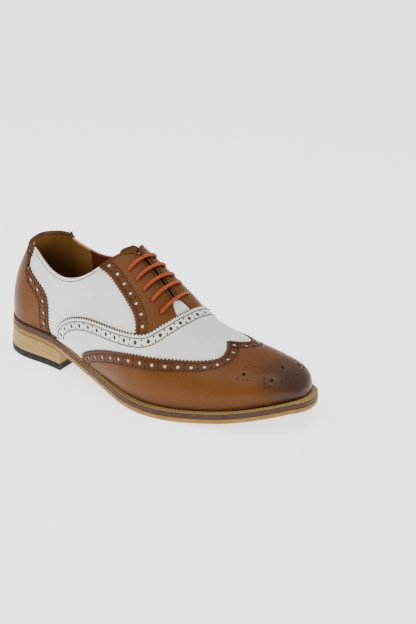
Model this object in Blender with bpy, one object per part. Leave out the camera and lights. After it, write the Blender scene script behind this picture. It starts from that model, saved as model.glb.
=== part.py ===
"""Right shoe of a two-tone full brogue oxford with a leather sole and a stacked heel.

Metres, +X to the toe, +Y to the medial side, +Z up. The upper, its overlays, the tongue and the
insole all come from one last surface. A place on it is given by a station along the last and a
share of the girth, counted from the ridge (0) down to the feather edge (1).
"""
import math

import bmesh
import bpy
import numpy as np
from mathutils import Vector
from mathutils.geometry import delaunay_2d_cdt

# Last
LAST_LENGTH = 0.2885
HEEL_CENTRE = 0.0320
BALL_WIDTH = 0.0980
INSTEP_HEIGHT = 0.0870
SWING = 0.0228
RIDGE_SHIFT = 0.0030
BULGE = 0.0035
BULGE_LEVEL = 0.0220
TOE_REACH = 0.0600
TOE_WALL = 0.0340
HEEL_LEAN = 0.0150
TOE_SPRING = 0.0150
HEEL_PITCH = 0.0226

# Upper
UPPER_WALL = 0.0022
COLLAR_HEIGHT = 0.0700
THROAT_GAP = 0.0030
TONGUE_WALL = 0.0022
INSOLE_WALL = 0.0025
CLEARANCE = 0.0003
LAP = 0.00062
TONGUE_GAP = 0.0006
BUTT = 0.0006

THROAT_END = 0.572
TONGUE_STATIONS = [0.386, 0.640]
TONGUE_HALF = 0.0300

# Overlays, thickness above the base upper
COUNTER_WALL = 0.0013
FACING_WALL = 0.0012
VAMP_WALL = 0.0013
WING_WALL = 0.0021

# Lace
LACE_DIAMETER = 0.0029
LACE_SPAN = 0.0380
LACE_ARCH = 0.0016

# Sole
WELT_WALL = 0.0012
MIDSOLE_WALL = 0.0034
OUTSOLE_WALL = 0.0042
SOLE_EDGE_BALL = 0.0055
HEEL_LENGTH = 0.0720
HEEL_TAPER = 0.0010
BREAST_HOLLOW = 0.0030
TOP_LIFT_WALL = 0.0060
MIDSOLE_STEP = 0.0004
OUTSOLE_STEP = 0.0002
FLAT_REST = 0.0002

# station, lateral and medial half width / ball width, ridge height / instep height, fullness,
# lateral bulge / bulge, bulge level / level, ridge shift / shift, medial bulge / bulge, roundness,
# medial fullness
SECTIONS = [
    (0.00, .306, .306, 1.220, 1.30, 0.35, 0.90, 0.00, 0.35, 1.00, 1.30),
    (0.11, .317, .306, 1.250, 1.35, 0.45, 0.95, 0.20, 0.60, 1.00, 1.35),
    (0.22, .314, .296, 1.280, 1.30, 0.80, 1.00, 0.40, 1.30, 0.95, 1.25),
    (0.34, .382, .270, 1.180, 1.22, 1.00, 0.90, 1.10, 2.20, 0.90, 0.76),
    (0.46, .466, .286, 1.030, 1.20, 1.00, 0.80, 1.30, 2.90, 0.85, 0.98),
    (0.56, .541, .342, 0.872, 1.08, 0.95, 0.68, -0.10, 2.60, 0.82, 1.08),
    (0.64, .551, .403, 0.660, 0.98, 0.85, 0.57, -0.30, 1.35, 0.84, 0.98),
    (0.71, .519, .441, 0.545, 0.92, 0.75, 0.50, 0.60, 0.50, 0.88, 0.92),
    (0.78, .474, .434, 0.438, 0.86, 0.68, 0.44, 1.00, 0.30, 0.92, 0.86),
    (0.85, .419, .418, 0.375, 0.82, 0.60, 0.40, 0.55, 0.60, 0.96, 0.82),
    (0.92, .350, .406, 0.315, 0.76, 0.52, 0.37, 0.30, 0.52, 1.00, 0.76),
    (1.00, .280, .376, 0.285, 0.72, 0.45, 0.34, 0.00, 0.45, 1.00, 0.72),
]

# station, feather height as a share of the heel pitch, as a share of the toe spring
FEATHER = [
    (0.00, 0.980, 0.00),
    (0.10, 0.940, 0.00),
    (0.20, 0.850, 0.00),
    (0.30, 0.635, 0.00),
    (0.40, 0.395, 0.00),
    (0.50, 0.155, 0.00),
    (0.60, 0.010, 0.00),
    (0.70, 0.000, 0.01),
    (0.80, 0.000, 0.22),
    (0.90, 0.000, 0.53),
    (1.00, 0.000, 1.00),
]

# height above the feather / instep height, forward lean of the back curve / heel lean
BACK_CURVE = [
    (0.00, 0.04),
    (0.10, 0.04),
    (0.20, 0.10),
    (0.32, 0.22),
    (0.46, 0.43),
    (0.58, 0.74),
    (0.70, 1.10),
    (0.82, 1.46),
    (1.30, 2.90),
]

# station, welt and sole edge beyond the feather / the edge at the ball
SOLE_EDGE = [
    (0.00, 0.45),
    (0.20, 0.50),
    (0.40, 0.62),
    (0.60, 0.95),
    (0.80, 1.05),
    (1.00, 1.25),
]

# station, lateral and medial collar height above the feather / collar height
COLLAR = [
    (0.00, 1.040, 1.040),
    (0.06, 1.045, 1.005),
    (0.11, 1.025, 0.938),
    (0.13, 0.985, 0.895),
    (0.166, 0.893, 0.850),
    (0.208, 0.832, 0.822),
    (0.248, 0.838, 0.848),
    (0.281, 0.888, 0.895),
    (0.316, 0.970, 0.970),
    (0.349, 1.084, 1.084),
]

# station, share of girth, along the top of the facing from the collar to the throat
FACING_TOP = [
    (0.369, 0.281),
    (0.385, 0.208),
    (0.397, 0.142),
    (0.405, 0.104),
    (0.413, 0.066),
    (0.424, 0.030),
]

# rear edge of the facing from its top corner to the vamp line
FACING_REAR = [
    (0.369, 0.281),
    (0.412, 0.284),
    (0.458, 0.315),
    (0.497, 0.343),
    (0.527, 0.370),
    (0.545, 0.405),
    (0.557, 0.455),
    (0.562, 0.500),
]

# notch below the throat: front edge of the facing from the throat to the vamp line
FACING_NOTCH = [
    (0.578, 0.030),
    (0.586, 0.060),
    (0.596, 0.075),
    (0.606, 0.085),
    (0.614, 0.105),
]

# upper edge of the vamp from the waist to the ridge
VAMP_LINE = [
    (0.240, 1.000),
    (0.240, 0.930),
    (0.265, 0.833),
    (0.308, 0.746),
    (0.354, 0.685),
    (0.399, 0.645),
    (0.453, 0.606),
    (0.507, 0.562),
    (0.557, 0.510),
    (0.586, 0.458),
    (0.602, 0.380),
    (0.613, 0.250),
    (0.617, 0.120),
    (0.618, 0.000),
]

# upper edge of the wing cap from the waist to its peak on the ridge
WING_LINE = [
    (0.357, 1.000),
    (0.366, 0.935),
    (0.404, 0.856),
    (0.460, 0.772),
    (0.548, 0.665),
    (0.615, 0.591),
    (0.669, 0.535),
    (0.721, 0.476),
    (0.763, 0.385),
    (0.779, 0.265),
    (0.770, 0.130),
    (0.756, 0.050),
    (0.746, 0.000),
]

# front edge of the counter from the collar to the feather
COUNTER_LINE = [
    (0.119, 0.399),
    (0.113, 0.470),
    (0.111, 0.540),
    (0.121, 0.582),
    (0.148, 0.634),
    (0.176, 0.686),
    (0.192, 0.742),
    (0.197, 0.836),
    (0.195, 0.930),
    (0.199, 1.000),
]

# station of each lace bar
LACE_STATIONS = [0.449, 0.484, 0.518, 0.552, 0.586]


# spacing of the shared inner points of the leather pieces, and their fan at the toe
FINE_PITCH = 0.0080
LONG_PITCH = 0.0114
ROW_PITCH = 0.0073
TOE_FAN_START = 0.2600
TOE_FAN_STATIONS = [.932, .952, .968, .981, .990, .996]
TOE_FAN_SHARES = [[0.90, 0.74, 0.56, 0.36, 0.14], [0.95, 0.82, 0.66, 0.46, 0.24]]


def spline(rows, column):
    """Smooth curve through one column of a table, by its first column."""
    knots = np.array([row[0] for row in rows], float)
    values = np.array([row[column] for row in rows], float)
    steps = np.diff(knots)
    rises = np.diff(values) / steps
    slopes = np.zeros_like(values)
    slopes[1:-1] = (steps[1:] * rises[:-1] + steps[:-1] * rises[1:]) / (steps[:-1] + steps[1:])
    slopes[0] = 1.5 * rises[0] - 0.5 * slopes[1]
    slopes[-1] = 1.5 * rises[-1] - 0.5 * slopes[-2]

    def at(place):
        place = np.asarray(place, float)
        i = np.clip(np.searchsorted(knots, place) - 1, 0, len(knots) - 2)
        t = (place - knots[i]) / steps[i]
        start = (2 * t**3 - 3 * t**2 + 1) * values[i] + (t**3 - 2 * t**2 + t) * steps[i] * slopes[i]
        end = (3 * t**2 - 2 * t**3) * values[i + 1] + (t**3 - t**2) * steps[i] * slopes[i + 1]
        return start + end

    return at


(LATERAL_HALF, MEDIAL_HALF, RIDGE_HEIGHT, FULLNESS, LATERAL_BULGE, LEVEL, SHIFT, MEDIAL_BULGE, ROUNDNESS,
 MEDIAL_FULLNESS) = [spline(SECTIONS, column) for column in range(1, 11)]
SEAT_PART = spline(FEATHER, 1)
SPRING_PART = spline(FEATHER, 2)
LEAN_AT = spline(BACK_CURVE, 1)
EDGE_AT = spline(SOLE_EDGE, 1)
COLLAR_LATERAL = spline(COLLAR, 1)
COLLAR_MEDIAL = spline(COLLAR, 2)

SOLE_WALL = WELT_WALL + MIDSOLE_WALL + OUTSOLE_WALL + 3 * CLEARANCE
HEEL_POWER = 2.15
DOME_START = 0.80


def station(x):
    return x / LAST_LENGTH


def feather_z(x):
    s = np.clip(station(x), 0, 1)
    return SOLE_WALL + HEEL_PITCH * SEAT_PART(s) + TOE_SPRING * SPRING_PART(s)


def closing(x, reach, power):
    """1 along the last, falling to 0 at the toe tip over the reach."""
    t = np.clip((x - (LAST_LENGTH - reach)) / reach, 0, 1)
    return (1 - t**power) ** (1 / power)


def swing(x):
    return SWING * np.clip((x - HEEL_CENTRE) / (LAST_LENGTH - HEEL_CENTRE), 0, 1) ** 2


def section(x, side, a):
    """y, z above the feather and ridge height; a runs from -1 at the feather, by 0 at the bulge, to 1."""
    s = station(x)
    lateral = side < 0
    half = BALL_WIDTH * np.where(lateral, LATERAL_HALF(s), MEDIAL_HALF(s)) * closing(x, TOE_REACH, 2.15)
    height = INSTEP_HEIGHT * RIDGE_HEIGHT(s) * closing(x, TOE_WALL, 2.0)
    out = BULGE * np.where(lateral, LATERAL_BULGE(s), MEDIAL_BULGE(s)) * closing(x, 0.7 * TOE_REACH, 2.0)
    lift = np.minimum(BULGE_LEVEL * LEVEL(s), 0.35 * height)
    turn = np.clip(a, 0, 1) * math.pi / 2
    down = np.clip(a, -1, 0)
    y = (half + out) * np.maximum(np.cos(turn), 1e-9) ** ROUNDNESS(s) - out * down**2
    full = np.where(lateral, FULLNESS(s), MEDIAL_FULLNESS(s))
    z = lift * (1 + down) + (height - lift) * np.sin(turn) ** full
    twist = RIDGE_SHIFT * SHIFT(s) * closing(x, TOE_REACH, 2.0) * (z / np.maximum(height, 1e-9)) ** 2
    return side * y + twist + swing(x), z, height


def surface(x, turn, side, a):
    """Last surface: ribs in planes across the last, and fanned around the heel where turn is above 0."""
    x_plane = np.maximum(x, HEEL_CENTRE)
    y, z, height = section(x_plane, side, a)
    rise = z / INSTEP_HEIGHT
    dome = np.clip(rise - DOME_START, 0, None) / (height / INSTEP_HEIGHT - DOME_START)
    reach = (HEEL_CENTRE - HEEL_LEAN * LEAN_AT(rise)) * np.sqrt(np.clip(1 - dome**2, 0, 1))
    across = np.maximum(np.abs(y), 1e-6)
    reach = np.maximum(reach, 1e-6)
    c = np.maximum(np.cos(turn), 1e-9)
    n = np.maximum(np.sin(turn), 1e-9)
    r = ((c / across) ** HEEL_POWER + (n / reach) ** HEEL_POWER) ** (-1 / HEEL_POWER)
    fanned = turn > 0
    px = np.where(fanned, HEEL_CENTRE - r * n, x_plane)
    py = np.where(fanned, side * r * c, y)
    pz = feather_z(np.where(fanned, np.maximum(px, 0), x_plane)) + z
    return np.stack([px, py, pz], -1)


RIB = np.concatenate([np.linspace(-1, 0, 9)[:-1], np.linspace(0, 1, 56)])
TIP = LAST_LENGTH * (1 - 1e-4)
TIP_BLEND = 0.0160


def rib_lengths(x, turn, side):
    """Girth along each rib from the feather up to each step of RIB."""
    count = len(x)
    steps = len(RIB)
    points = surface(
        np.repeat(x[:, None], steps, 1),
        np.repeat(turn[:, None], steps, 1),
        np.repeat(side[:, None], steps, 1),
        np.repeat(RIB[None], count, 0),
    )
    lengths = np.linalg.norm(np.diff(points, axis=1), axis=2)
    return np.concatenate([np.zeros((count, 1)), np.cumsum(lengths, 1)], 1)


def ridge_table():
    share = np.linspace(0, 1, 400)
    xs = HEEL_CENTRE + (LAST_LENGTH - HEEL_CENTRE) * (1 - (1 - share) ** 2.2)
    count = len(xs)
    points = surface(xs, np.zeros(count), np.full(count, -1.0), np.ones(count))
    lengths = np.linalg.norm(np.diff(points, axis=0), axis=1)
    return xs, np.concatenate([[0], np.cumsum(lengths)])


RIDGE_X, RIDGE_LENGTH = ridge_table()


def girth(x, turn, side):
    return rib_lengths(np.atleast_1d(x), np.atleast_1d(turn), np.atleast_1d(side))[:, -1]


def flat_point(s, share, side):
    """Pattern coordinates of a station and a share of girth."""
    x = min(max(s * LAST_LENGTH, HEEL_CENTRE), TIP)
    length = girth(x, 0.0, float(side))[0]
    return float(np.interp(x, RIDGE_X, RIDGE_LENGTH)), side * share * length


def fan_point(turn, height, side):
    """Pattern coordinates of a height above the feather on a rib of the heel fan."""
    lengths = rib_lengths(np.array([HEEL_CENTRE]), np.array([turn]), np.array([float(side)]))[0]
    count = len(RIB)
    points = surface(np.full(count, HEEL_CENTRE), np.full(count, turn), np.full(count, float(side)), RIB)
    heights = points[:, 2] - feather_z(np.maximum(points[:, 0], 0))
    rho = lengths[-1] - float(np.interp(height, heights, lengths))
    return -rho * math.sin(turn), side * rho * math.cos(turn)


def collar_height(s, side):
    return COLLAR_HEIGHT * float((COLLAR_LATERAL if side < 0 else COLLAR_MEDIAL)(s))


def collar_point(s, side):
    """Pattern coordinates of the collar at a station."""
    x = s * LAST_LENGTH
    lengths = rib_lengths(np.array([x]), np.array([0.0]), np.array([float(side)]))[0]
    heights = section(np.full(len(RIB), x), np.full(len(RIB), float(side)), RIB)[1]
    rho = lengths[-1] - float(np.interp(collar_height(s, side), heights, lengths))
    return float(np.interp(x, RIDGE_X, RIDGE_LENGTH)), side * rho


def place(flat, lift):
    """Points on the last surface, lifted along its normal, for pattern coordinates."""
    flat = np.asarray(flat, float)
    p, q = flat[:, 0], flat[:, 1]
    side = np.where(q < 0, -1.0, 1.0)
    forward = p >= 0
    x = np.where(forward, np.interp(p, RIDGE_LENGTH, RIDGE_X), HEEL_CENTRE)
    x = np.minimum(x, TIP)
    turn = np.where(forward, 0.0, np.arctan2(-p, np.abs(q)))
    rho = np.where(forward, np.abs(q), np.hypot(p, q))
    lengths = rib_lengths(x, turn, side)
    target = np.clip(lengths[:, -1] - rho, 0, None)
    i = np.clip((lengths < target[:, None]).sum(1) - 1, 0, len(RIB) - 2)
    row = np.arange(len(p))
    part = (target - lengths[row, i]) / np.maximum(lengths[row, i + 1] - lengths[row, i], 1e-12)
    a = RIB[i] + np.clip(part, 0, 1) * (RIB[i + 1] - RIB[i])
    points = surface(x, turn, side, a)
    moved = points + lift * normals(x, turn, side, a)
    ends = np.clip(np.stack([points[:, 0], moved[:, 0]]), 0, None)
    moved[:, 2] += (feather_z(ends[1]) - feather_z(ends[0])) * np.clip(-a, 0, 1)
    return moved


def normals(x, turn, side, a):
    """Outward unit normals of the last surface."""
    step_a = 0.01
    low, high = np.clip(a - step_a, -1, 0.999), np.clip(a + step_a, -1, 0.999)
    up = surface(x, turn, side, high) - surface(x, turn, side, low)
    step_x = 0.0006
    far = np.minimum(x + step_x, LAST_LENGTH * 0.9999)
    near = np.maximum(far - 2 * step_x, HEEL_CENTRE)
    along_x = surface(far, turn, side, a) - surface(near, turn, side, a)
    more, less = np.clip(turn + 0.01, 1e-4, math.pi / 2), np.clip(turn - 0.01, 1e-4, math.pi / 2)
    along_turn = surface(x, less, side, a) - surface(x, more, side, a)
    along = np.where((turn > 0)[:, None], along_turn, along_x)
    normal = np.cross(up, along) * np.where(side < 0, -1.0, 1.0)[:, None]
    normal[:, 2] = np.where(a < 0, np.maximum(normal[:, 2], 0), normal[:, 2])
    normal /= np.maximum(np.linalg.norm(normal, axis=1), 1e-15)[:, None]
    points = surface(x, turn, side, a)
    centre = np.array([LAST_LENGTH - 0.5 * TOE_REACH, SWING, 0.0])
    radial = points - centre
    radial[:, 2] = np.clip(a, 0, 1) * TOE_WALL
    radial /= np.linalg.norm(radial, axis=1)[:, None]
    tip = np.clip((x - (LAST_LENGTH - TIP_BLEND)) / (0.8 * TIP_BLEND), 0, 1)[:, None]
    tip = tip * tip * (3 - 2 * tip)
    normal = (1 - tip) * normal + tip * radial
    return normal / np.linalg.norm(normal, axis=1)[:, None]


def smooth_line(rows, count):
    """Evenly spaced points of a smooth curve through table rows."""
    knots = np.arange(len(rows), dtype=float)
    first = spline([(k, row[0]) for k, row in zip(knots, rows)], 1)
    second = spline([(k, row[1]) for k, row in zip(knots, rows)], 1)
    dense = np.linspace(0, len(rows) - 1, 20 * len(rows))
    xs, ys = first(dense), second(dense)
    lengths = np.concatenate([[0], np.cumsum(np.hypot(np.diff(xs), np.diff(ys) * 0.4))])
    at = np.interp(np.linspace(0, lengths[-1], count), lengths, dense)
    return [(float(first(k)), float(second(k))) for k in at]


def line_points(rows, side, count):
    return [flat_point(s, share, side) for s, share in smooth_line(rows, count)]


def feather_line(side, first, last, count):
    """Feather edge between two stations, in pattern coordinates."""
    share = np.linspace(0, 1, count)
    return [flat_point(first + (last - first) * t, 1.0, side) for t in share]


def feather_fan(count):
    """Feather edge around the heel from the lateral to the medial side, ends left out."""
    points = []
    for k in range(1, count):
        turn = math.pi * k / count
        side = -1 if turn < math.pi / 2 else 1
        angle = turn if side < 0 else math.pi - turn
        points.append(fan_point(angle, 0.0, side))
    return points


def collar_fan(count):
    """Collar line around the back from the lateral to the medial side."""
    points = []
    for k in range(1, count):
        turn = math.pi * k / count
        side = -1 if turn < math.pi / 2 else 1
        angle = turn if side < 0 else math.pi - turn
        share = 1 - angle / (math.pi / 2)
        points.append(fan_point(angle, collar_height(share * HEEL_CENTRE / LAST_LENGTH, side), side))
    return points


def toe_line(side, count):
    """Feather edge from the ball to the tip, closer together towards the tip."""
    return [flat_point(0.70 + 0.2999 * (1 - (1 - t) ** 2.0), 1.0, side) for t in np.linspace(0, 1, count)]


def polygon_area(loop):
    return 0.5 * sum(a[0] * b[1] - b[0] * a[1] for a, b in zip(loop, loop[1:] + loop[:1]))


def inside(point, loop):
    x, y = point
    found = False
    for (ax, ay), (bx, by) in zip(loop, loop[1:] + loop[:1]):
        if (ay > y) != (by > y) and x < (bx - ax) * (y - ay) / (by - ay) + ax:
            found = not found
    return found


def distance_to(point, loop):
    corners = np.asarray(loop)
    ends = np.roll(corners, -1, axis=0)
    spans = ends - corners
    t = ((np.asarray(point) - corners) * spans).sum(1) / np.maximum((spans**2).sum(1), 1e-18)
    nearest = corners + np.clip(t, 0, 1)[:, None] * spans
    return float(np.min(np.linalg.norm(nearest - point, axis=1)))


def lattice():
    """Pattern points that every leather piece shares, closer together at the heel and fanned at the toe."""
    columns = [-0.132]
    while columns[-1] < TOE_FAN_START - FINE_PITCH:
        columns.append(columns[-1] + (FINE_PITCH if columns[-1] < 0.030 or columns[-1] > 0.230 else LONG_PITCH))
    spots = []
    for number, p in enumerate(columns):
        for row in range(-20, 21):
            spots.append((p, ROW_PITCH * (row + 0.5 * (number % 2))))
    for number, s in enumerate(TOE_FAN_STATIONS):
        for share in TOE_FAN_SHARES[number % 2]:
            for side in (-1, 1):
                spots.append(flat_point(s, share, side))
    return spots


LATTICE = lattice()


def fill(outer, holes):
    """Triangles over a pattern region, with the shared inner points."""
    loops = [outer] + holes
    points = []
    edges = []
    for loop in loops:
        start = len(points)
        points += [tuple(corner) for corner in loop]
        count = len(loop)
        edges += [(start + k, start + (k + 1) % count) for k in range(count)]
    for spot in LATTICE:
        if not inside(spot, outer) or any(inside(spot, hole) for hole in holes):
            continue
        if min(distance_to(spot, loop) for loop in loops) > 0.3 * ROW_PITCH:
            points.append(spot)
    made = delaunay_2d_cdt([Vector(point) for point in points], edges, [], 0, 1e-7)
    vertices = [tuple(vertex) for vertex in made[0]]
    faces = []
    for face in made[2]:
        centre = np.mean([vertices[k] for k in face], axis=0)
        if inside(centre, outer) and not any(inside(centre, hole) for hole in holes):
            faces.append(tuple(face))
    return vertices, faces


def shell(name, outer, holes, low, high, material):
    """Closed leather piece over a pattern region, between two lifts from the last surface."""
    vertices, faces = fill(outer, holes)
    count = len(vertices)
    top = place(vertices, high)
    bottom = place(vertices, low)
    a, b, c = (vertices[k] for k in faces[0][:3])
    turned = (b[0] - a[0]) * (c[1] - a[1]) - (b[1] - a[1]) * (c[0] - a[0]) < 0
    faces = [face[::-1] if turned else face for face in faces]
    borders = {}
    for face in faces:
        for k in range(len(face)):
            edge = (face[k], face[(k + 1) % len(face)])
            borders[edge] = True
    rim = [edge for edge in borders if (edge[1], edge[0]) not in borders]
    made = [face for face in faces]
    made += [tuple(k + count for k in face[::-1]) for face in faces]
    made += [(b, a, a + count, b + count) for a, b in rim]
    return solid(name, np.concatenate([top, bottom]), made, material)


def solid(name, points, faces, material):
    mesh = bpy.data.meshes.new(name)
    mesh.from_pydata([tuple(point) for point in points], [], faces)
    work = bmesh.new()
    work.from_mesh(mesh)
    bmesh.ops.remove_doubles(work, verts=work.verts, dist=1e-6)
    bmesh.ops.triangulate(work, faces=work.faces)
    bmesh.ops.recalc_face_normals(work, faces=work.faces)
    work.to_mesh(mesh)
    work.free()
    mesh.shade_smooth()
    mesh.set_sharp_from_angle(angle=math.radians(40))
    mesh.materials.append(material)
    piece = bpy.data.objects.new(name, mesh)
    bpy.context.collection.objects.link(piece)
    piece.location.x = ROW_SHIFT
    piece.location.y = ROW_SIDE
    return piece


def paint(name, colour, roughness):
    material = bpy.data.materials.new(name)
    material.use_nodes = True
    shader = material.node_tree.nodes["Principled BSDF"]
    shader.inputs["Base Color"].default_value = (*colour, 1)
    shader.inputs["Roughness"].default_value = roughness
    shader.inputs["Metallic"].default_value = 0.0
    return material


def plan_outline(extra, count):
    """Plan of the feather edge moved out by the sole edge, as paired lateral and medial points."""
    turns = [math.pi / 2 * (1 - k / 10) for k in range(10)]
    share = np.linspace(0, 1, count)
    stations = HEEL_CENTRE + (LAST_LENGTH - HEEL_CENTRE) * (1 - (1 - share) ** 1.7)
    sides = []
    for side in (-1.0, 1.0):
        back = [surface(np.array([HEEL_CENTRE]), np.array([turn]), np.array([side]), np.array([-1.0]))[0]
                for turn in turns]
        ahead = [surface(np.array([x]), np.array([0.0]), np.array([side]), np.array([-1.0]))[0]
                 for x in stations]
        sides.append(np.array(back + ahead)[:, :2])
    lateral, medial = sides
    middle = 0.5 * (lateral[-1] + medial[-1])
    lateral[-1] = medial[-1] = middle
    loop = np.concatenate([lateral, medial[::-1][1:-1]])
    before, after = np.roll(loop, 1, axis=0), np.roll(loop, -1, axis=0)
    tangent = after - before
    tangent /= np.linalg.norm(tangent, axis=1)[:, None]
    outward = np.stack([tangent[:, 1], -tangent[:, 0]], -1)
    reach = SOLE_EDGE_BALL * EDGE_AT(np.clip(station(loop[:, 0]), 0, 1)) + extra
    moved = loop + outward * reach[:, None]
    total = len(lateral)
    out_lateral = moved[:total]
    out_medial = np.concatenate([moved[:1], moved[total:][::-1], moved[total - 1:total]])
    return out_lateral, out_medial


def sole_z(x, drop):
    """Height of a sole layer's face, by the drop below the feather."""
    return feather_z(np.clip(x, 0, LAST_LENGTH)) - drop


def layer(name, extra, top_drop, bottom_drop, material, rest=False):
    """Sole layer that follows the feather height, between two drops."""
    lateral, medial = plan_outline(extra, 44)
    count = len(lateral)
    points = []
    for drop, bottom in ((top_drop, False), (bottom_drop, True)):
        for row in (lateral, medial):
            for x, y in row:
                z = float(sole_z(x, drop))
                if bottom and rest:
                    z = max(0.0, z - FLAT_REST)
                points.append((x, y, z))
    faces = []
    for i in range(count - 1):
        faces.append((i, i + 1, count + i + 1, count + i))
        faces.append((2 * count + i, 3 * count + i, 3 * count + i + 1, 2 * count + i + 1))
        faces.append((i, 2 * count + i, 2 * count + i + 1, i + 1))
        faces.append((count + i, count + i + 1, 3 * count + i + 1, 3 * count + i))
    points = np.array(points)
    faces = clean_faces(points, faces)
    return solid(name, points, faces, material)


def clean_faces(points, faces):
    """Drops corners that repeat and faces left with fewer than three."""
    kept = []
    for face in faces:
        corners = []
        for k in face:
            if not any(np.linalg.norm(points[k] - points[j]) < 1e-7 for j in corners):
                corners.append(k)
        if len(corners) > 2:
            kept.append(tuple(corners))
    return kept


def heel_ring(front, extra, count=22):
    """Plan of the heel from its breast round the back: lateral corner, back, medial corner."""
    lateral, medial = plan_outline(extra, 44)
    rows = []
    for side in (lateral, medial[::-1]):
        keep = [tuple(point) for point in side if point[0] < front - 0.002]
        ordered = side if side is medial else side
        xs, ys = side[:, 0], side[:, 1]
        order = np.argsort(xs)
        y_front = float(np.interp(front, xs[order], ys[order]))
        rows.append((keep, (front, y_front)))
    lateral_keep, lateral_corner = rows[0]
    medial_keep, medial_corner = rows[1]
    lateral_keep = lateral_keep[::-1]
    medial_keep = sorted(medial_keep, key=lambda point: math.atan2(point[1], HEEL_CENTRE - point[0]))
    return [lateral_corner] + lateral_keep + medial_keep[1:] + [medial_corner]


def heel_block(name, top_at, bottom_at, grow_top, grow_bottom, material):
    """Heel piece between two faces, with a hollowed breast."""
    faces = []
    loops = []
    for grow, level in ((grow_top, top_at), (grow_bottom, bottom_at)):
        ring = heel_ring(HEEL_LENGTH, grow)
        first, last = ring[0], ring[-1]
        breast = []
        for k in range(1, 8):
            t = k / 8
            y = last[1] + (first[1] - last[1]) * t
            breast.append((HEEL_LENGTH - BREAST_HOLLOW * math.sin(math.pi * t) ** 0.8, y))
        loop = ring + breast
        loops.append([(x, y, level(x)) for x, y in loop])
    count = len(loops[0])
    points = np.array(loops[0] + loops[1])
    for offset, flip in ((0, False), (count, True)):
        flat = [Vector((point[0], point[1])) for point in points[offset:offset + count]]
        made = delaunay_2d_cdt(flat, [(k, (k + 1) % count) for k in range(count)], [], 1, 1e-9)
        for face in made[2]:
            corners = [made[3][k][0] + offset for k in face]
            faces.append(tuple(corners[::-1] if flip else corners))
    for k in range(count):
        n = (k + 1) % count
        faces.append((k, n, count + n, count + k))
    return solid(name, points, faces, material)


def lace_bar(name, s, material):
    """One straight bar over the throat, its ends turned down at the eyelets."""
    steps = 10
    centre = flat_point(s, 0.0, -1)[0]
    radius = 0.5 * LACE_DIAMETER
    flat = [(centre, LACE_SPAN * (k / steps - 0.5)) for k in range(steps + 1)]
    base = place(flat, FACING_WALL + LAP + CLEARANCE)
    up = place(flat, FACING_WALL + LAP + CLEARANCE + 0.001) - base
    up /= np.linalg.norm(up, axis=1)[:, None]
    rise = [radius + LACE_ARCH * math.sin(math.pi * k / steps) ** 0.7 for k in range(steps + 1)]
    path = base + up * np.array(rise)[:, None]
    curve = bpy.data.curves.new(name, "CURVE")
    curve.dimensions = "3D"
    curve.bevel_depth = radius
    curve.bevel_resolution = 2
    curve.use_fill_caps = True
    line = curve.splines.new("POLY")
    line.points.add(steps)
    for point, spot in zip(line.points, path):
        point.co = (*spot, 1)
    curve.materials.append(material)
    piece = bpy.data.objects.new(name, curve)
    bpy.context.collection.objects.link(piece)
    piece.location.x = ROW_SHIFT
    piece.location.y = ROW_SIDE
    return piece


def top_edge(side, grow=0.0):
    """Collar and top of the facing on one side, from the heel centre to the throat."""
    stations = np.linspace(HEEL_CENTRE / LAST_LENGTH, COLLAR[-1][0], 15)
    points = [collar_point(s, side) for s in stations]
    points += line_points(FACING_TOP, side, 8)
    gap = side * 0.5 * THROAT_GAP
    points.append((flat_point(FACING_TOP[-1][0], 0.0, side)[0] + 0.001, gap))
    return points


def throat_end(s, half):
    """Round end of the throat from the lateral to the medial side."""
    p = flat_point(s, 0.0, -1)[0]
    points = []
    for k in range(1, 6):
        angle = math.pi * k / 6
        points.append((p + half * math.sin(angle), -half * math.cos(angle)))
    return points


def build_upper(material):
    outer = toe_line(-1, 26)[::-1] + feather_line(-1, 0.69, HEEL_CENTRE / LAST_LENGTH, 34)
    outer += feather_fan(22)
    outer += feather_line(1, HEEL_CENTRE / LAST_LENGTH, 0.69, 34) + toe_line(1, 26)[:-1]
    gap = 0.5 * THROAT_GAP
    first = flat_point(FACING_TOP[-1][0], 0.0, -1)[0] + 0.001
    last = flat_point(THROAT_END, 0.0, -1)[0]
    steps = 12
    slit = [first + (last - first) * k / steps for k in range(1, steps + 1)]
    hole = top_edge(-1) + [(p, -gap) for p in slit]
    hole += throat_end(THROAT_END, gap)
    hole += [(p, gap) for p in slit[::-1]] + top_edge(1)[::-1]
    hole += collar_fan(20)[::-1]
    return shell("upper", outer, [hole], -UPPER_WALL, 0.0, material)


def build_wing(material):
    lateral = line_points(WING_LINE, -1, 40)
    medial = line_points(WING_LINE, 1, 40)
    outer = lateral + medial[::-1][1:]
    outer += feather_line(1, WING_LINE[0][0], 0.69, 18)[1:] + toe_line(1, 26)
    outer += toe_line(-1, 26)[::-1][1:] + feather_line(-1, 0.69, WING_LINE[0][0], 18)[:-1]
    return shell("wing_cap", outer, [], LAP, LAP + WING_WALL, material)


def butt(points, gap):
    """Line moved sideways by a gap, to its right."""
    line = np.array(points)
    tangent = np.gradient(line, axis=0)
    tangent /= np.linalg.norm(tangent, axis=1)[:, None]
    return [tuple(row) for row in line + gap * np.stack([tangent[:, 1], -tangent[:, 0]], -1)]


def between(upper_rows, lower_rows, side):
    """Upper edge of the vamp and the wing line with the butt gap, both to the ridge."""
    top = line_points(upper_rows, side, 40)
    low = butt(line_points(lower_rows, side, 40), side * BUTT)
    return top, low


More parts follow.
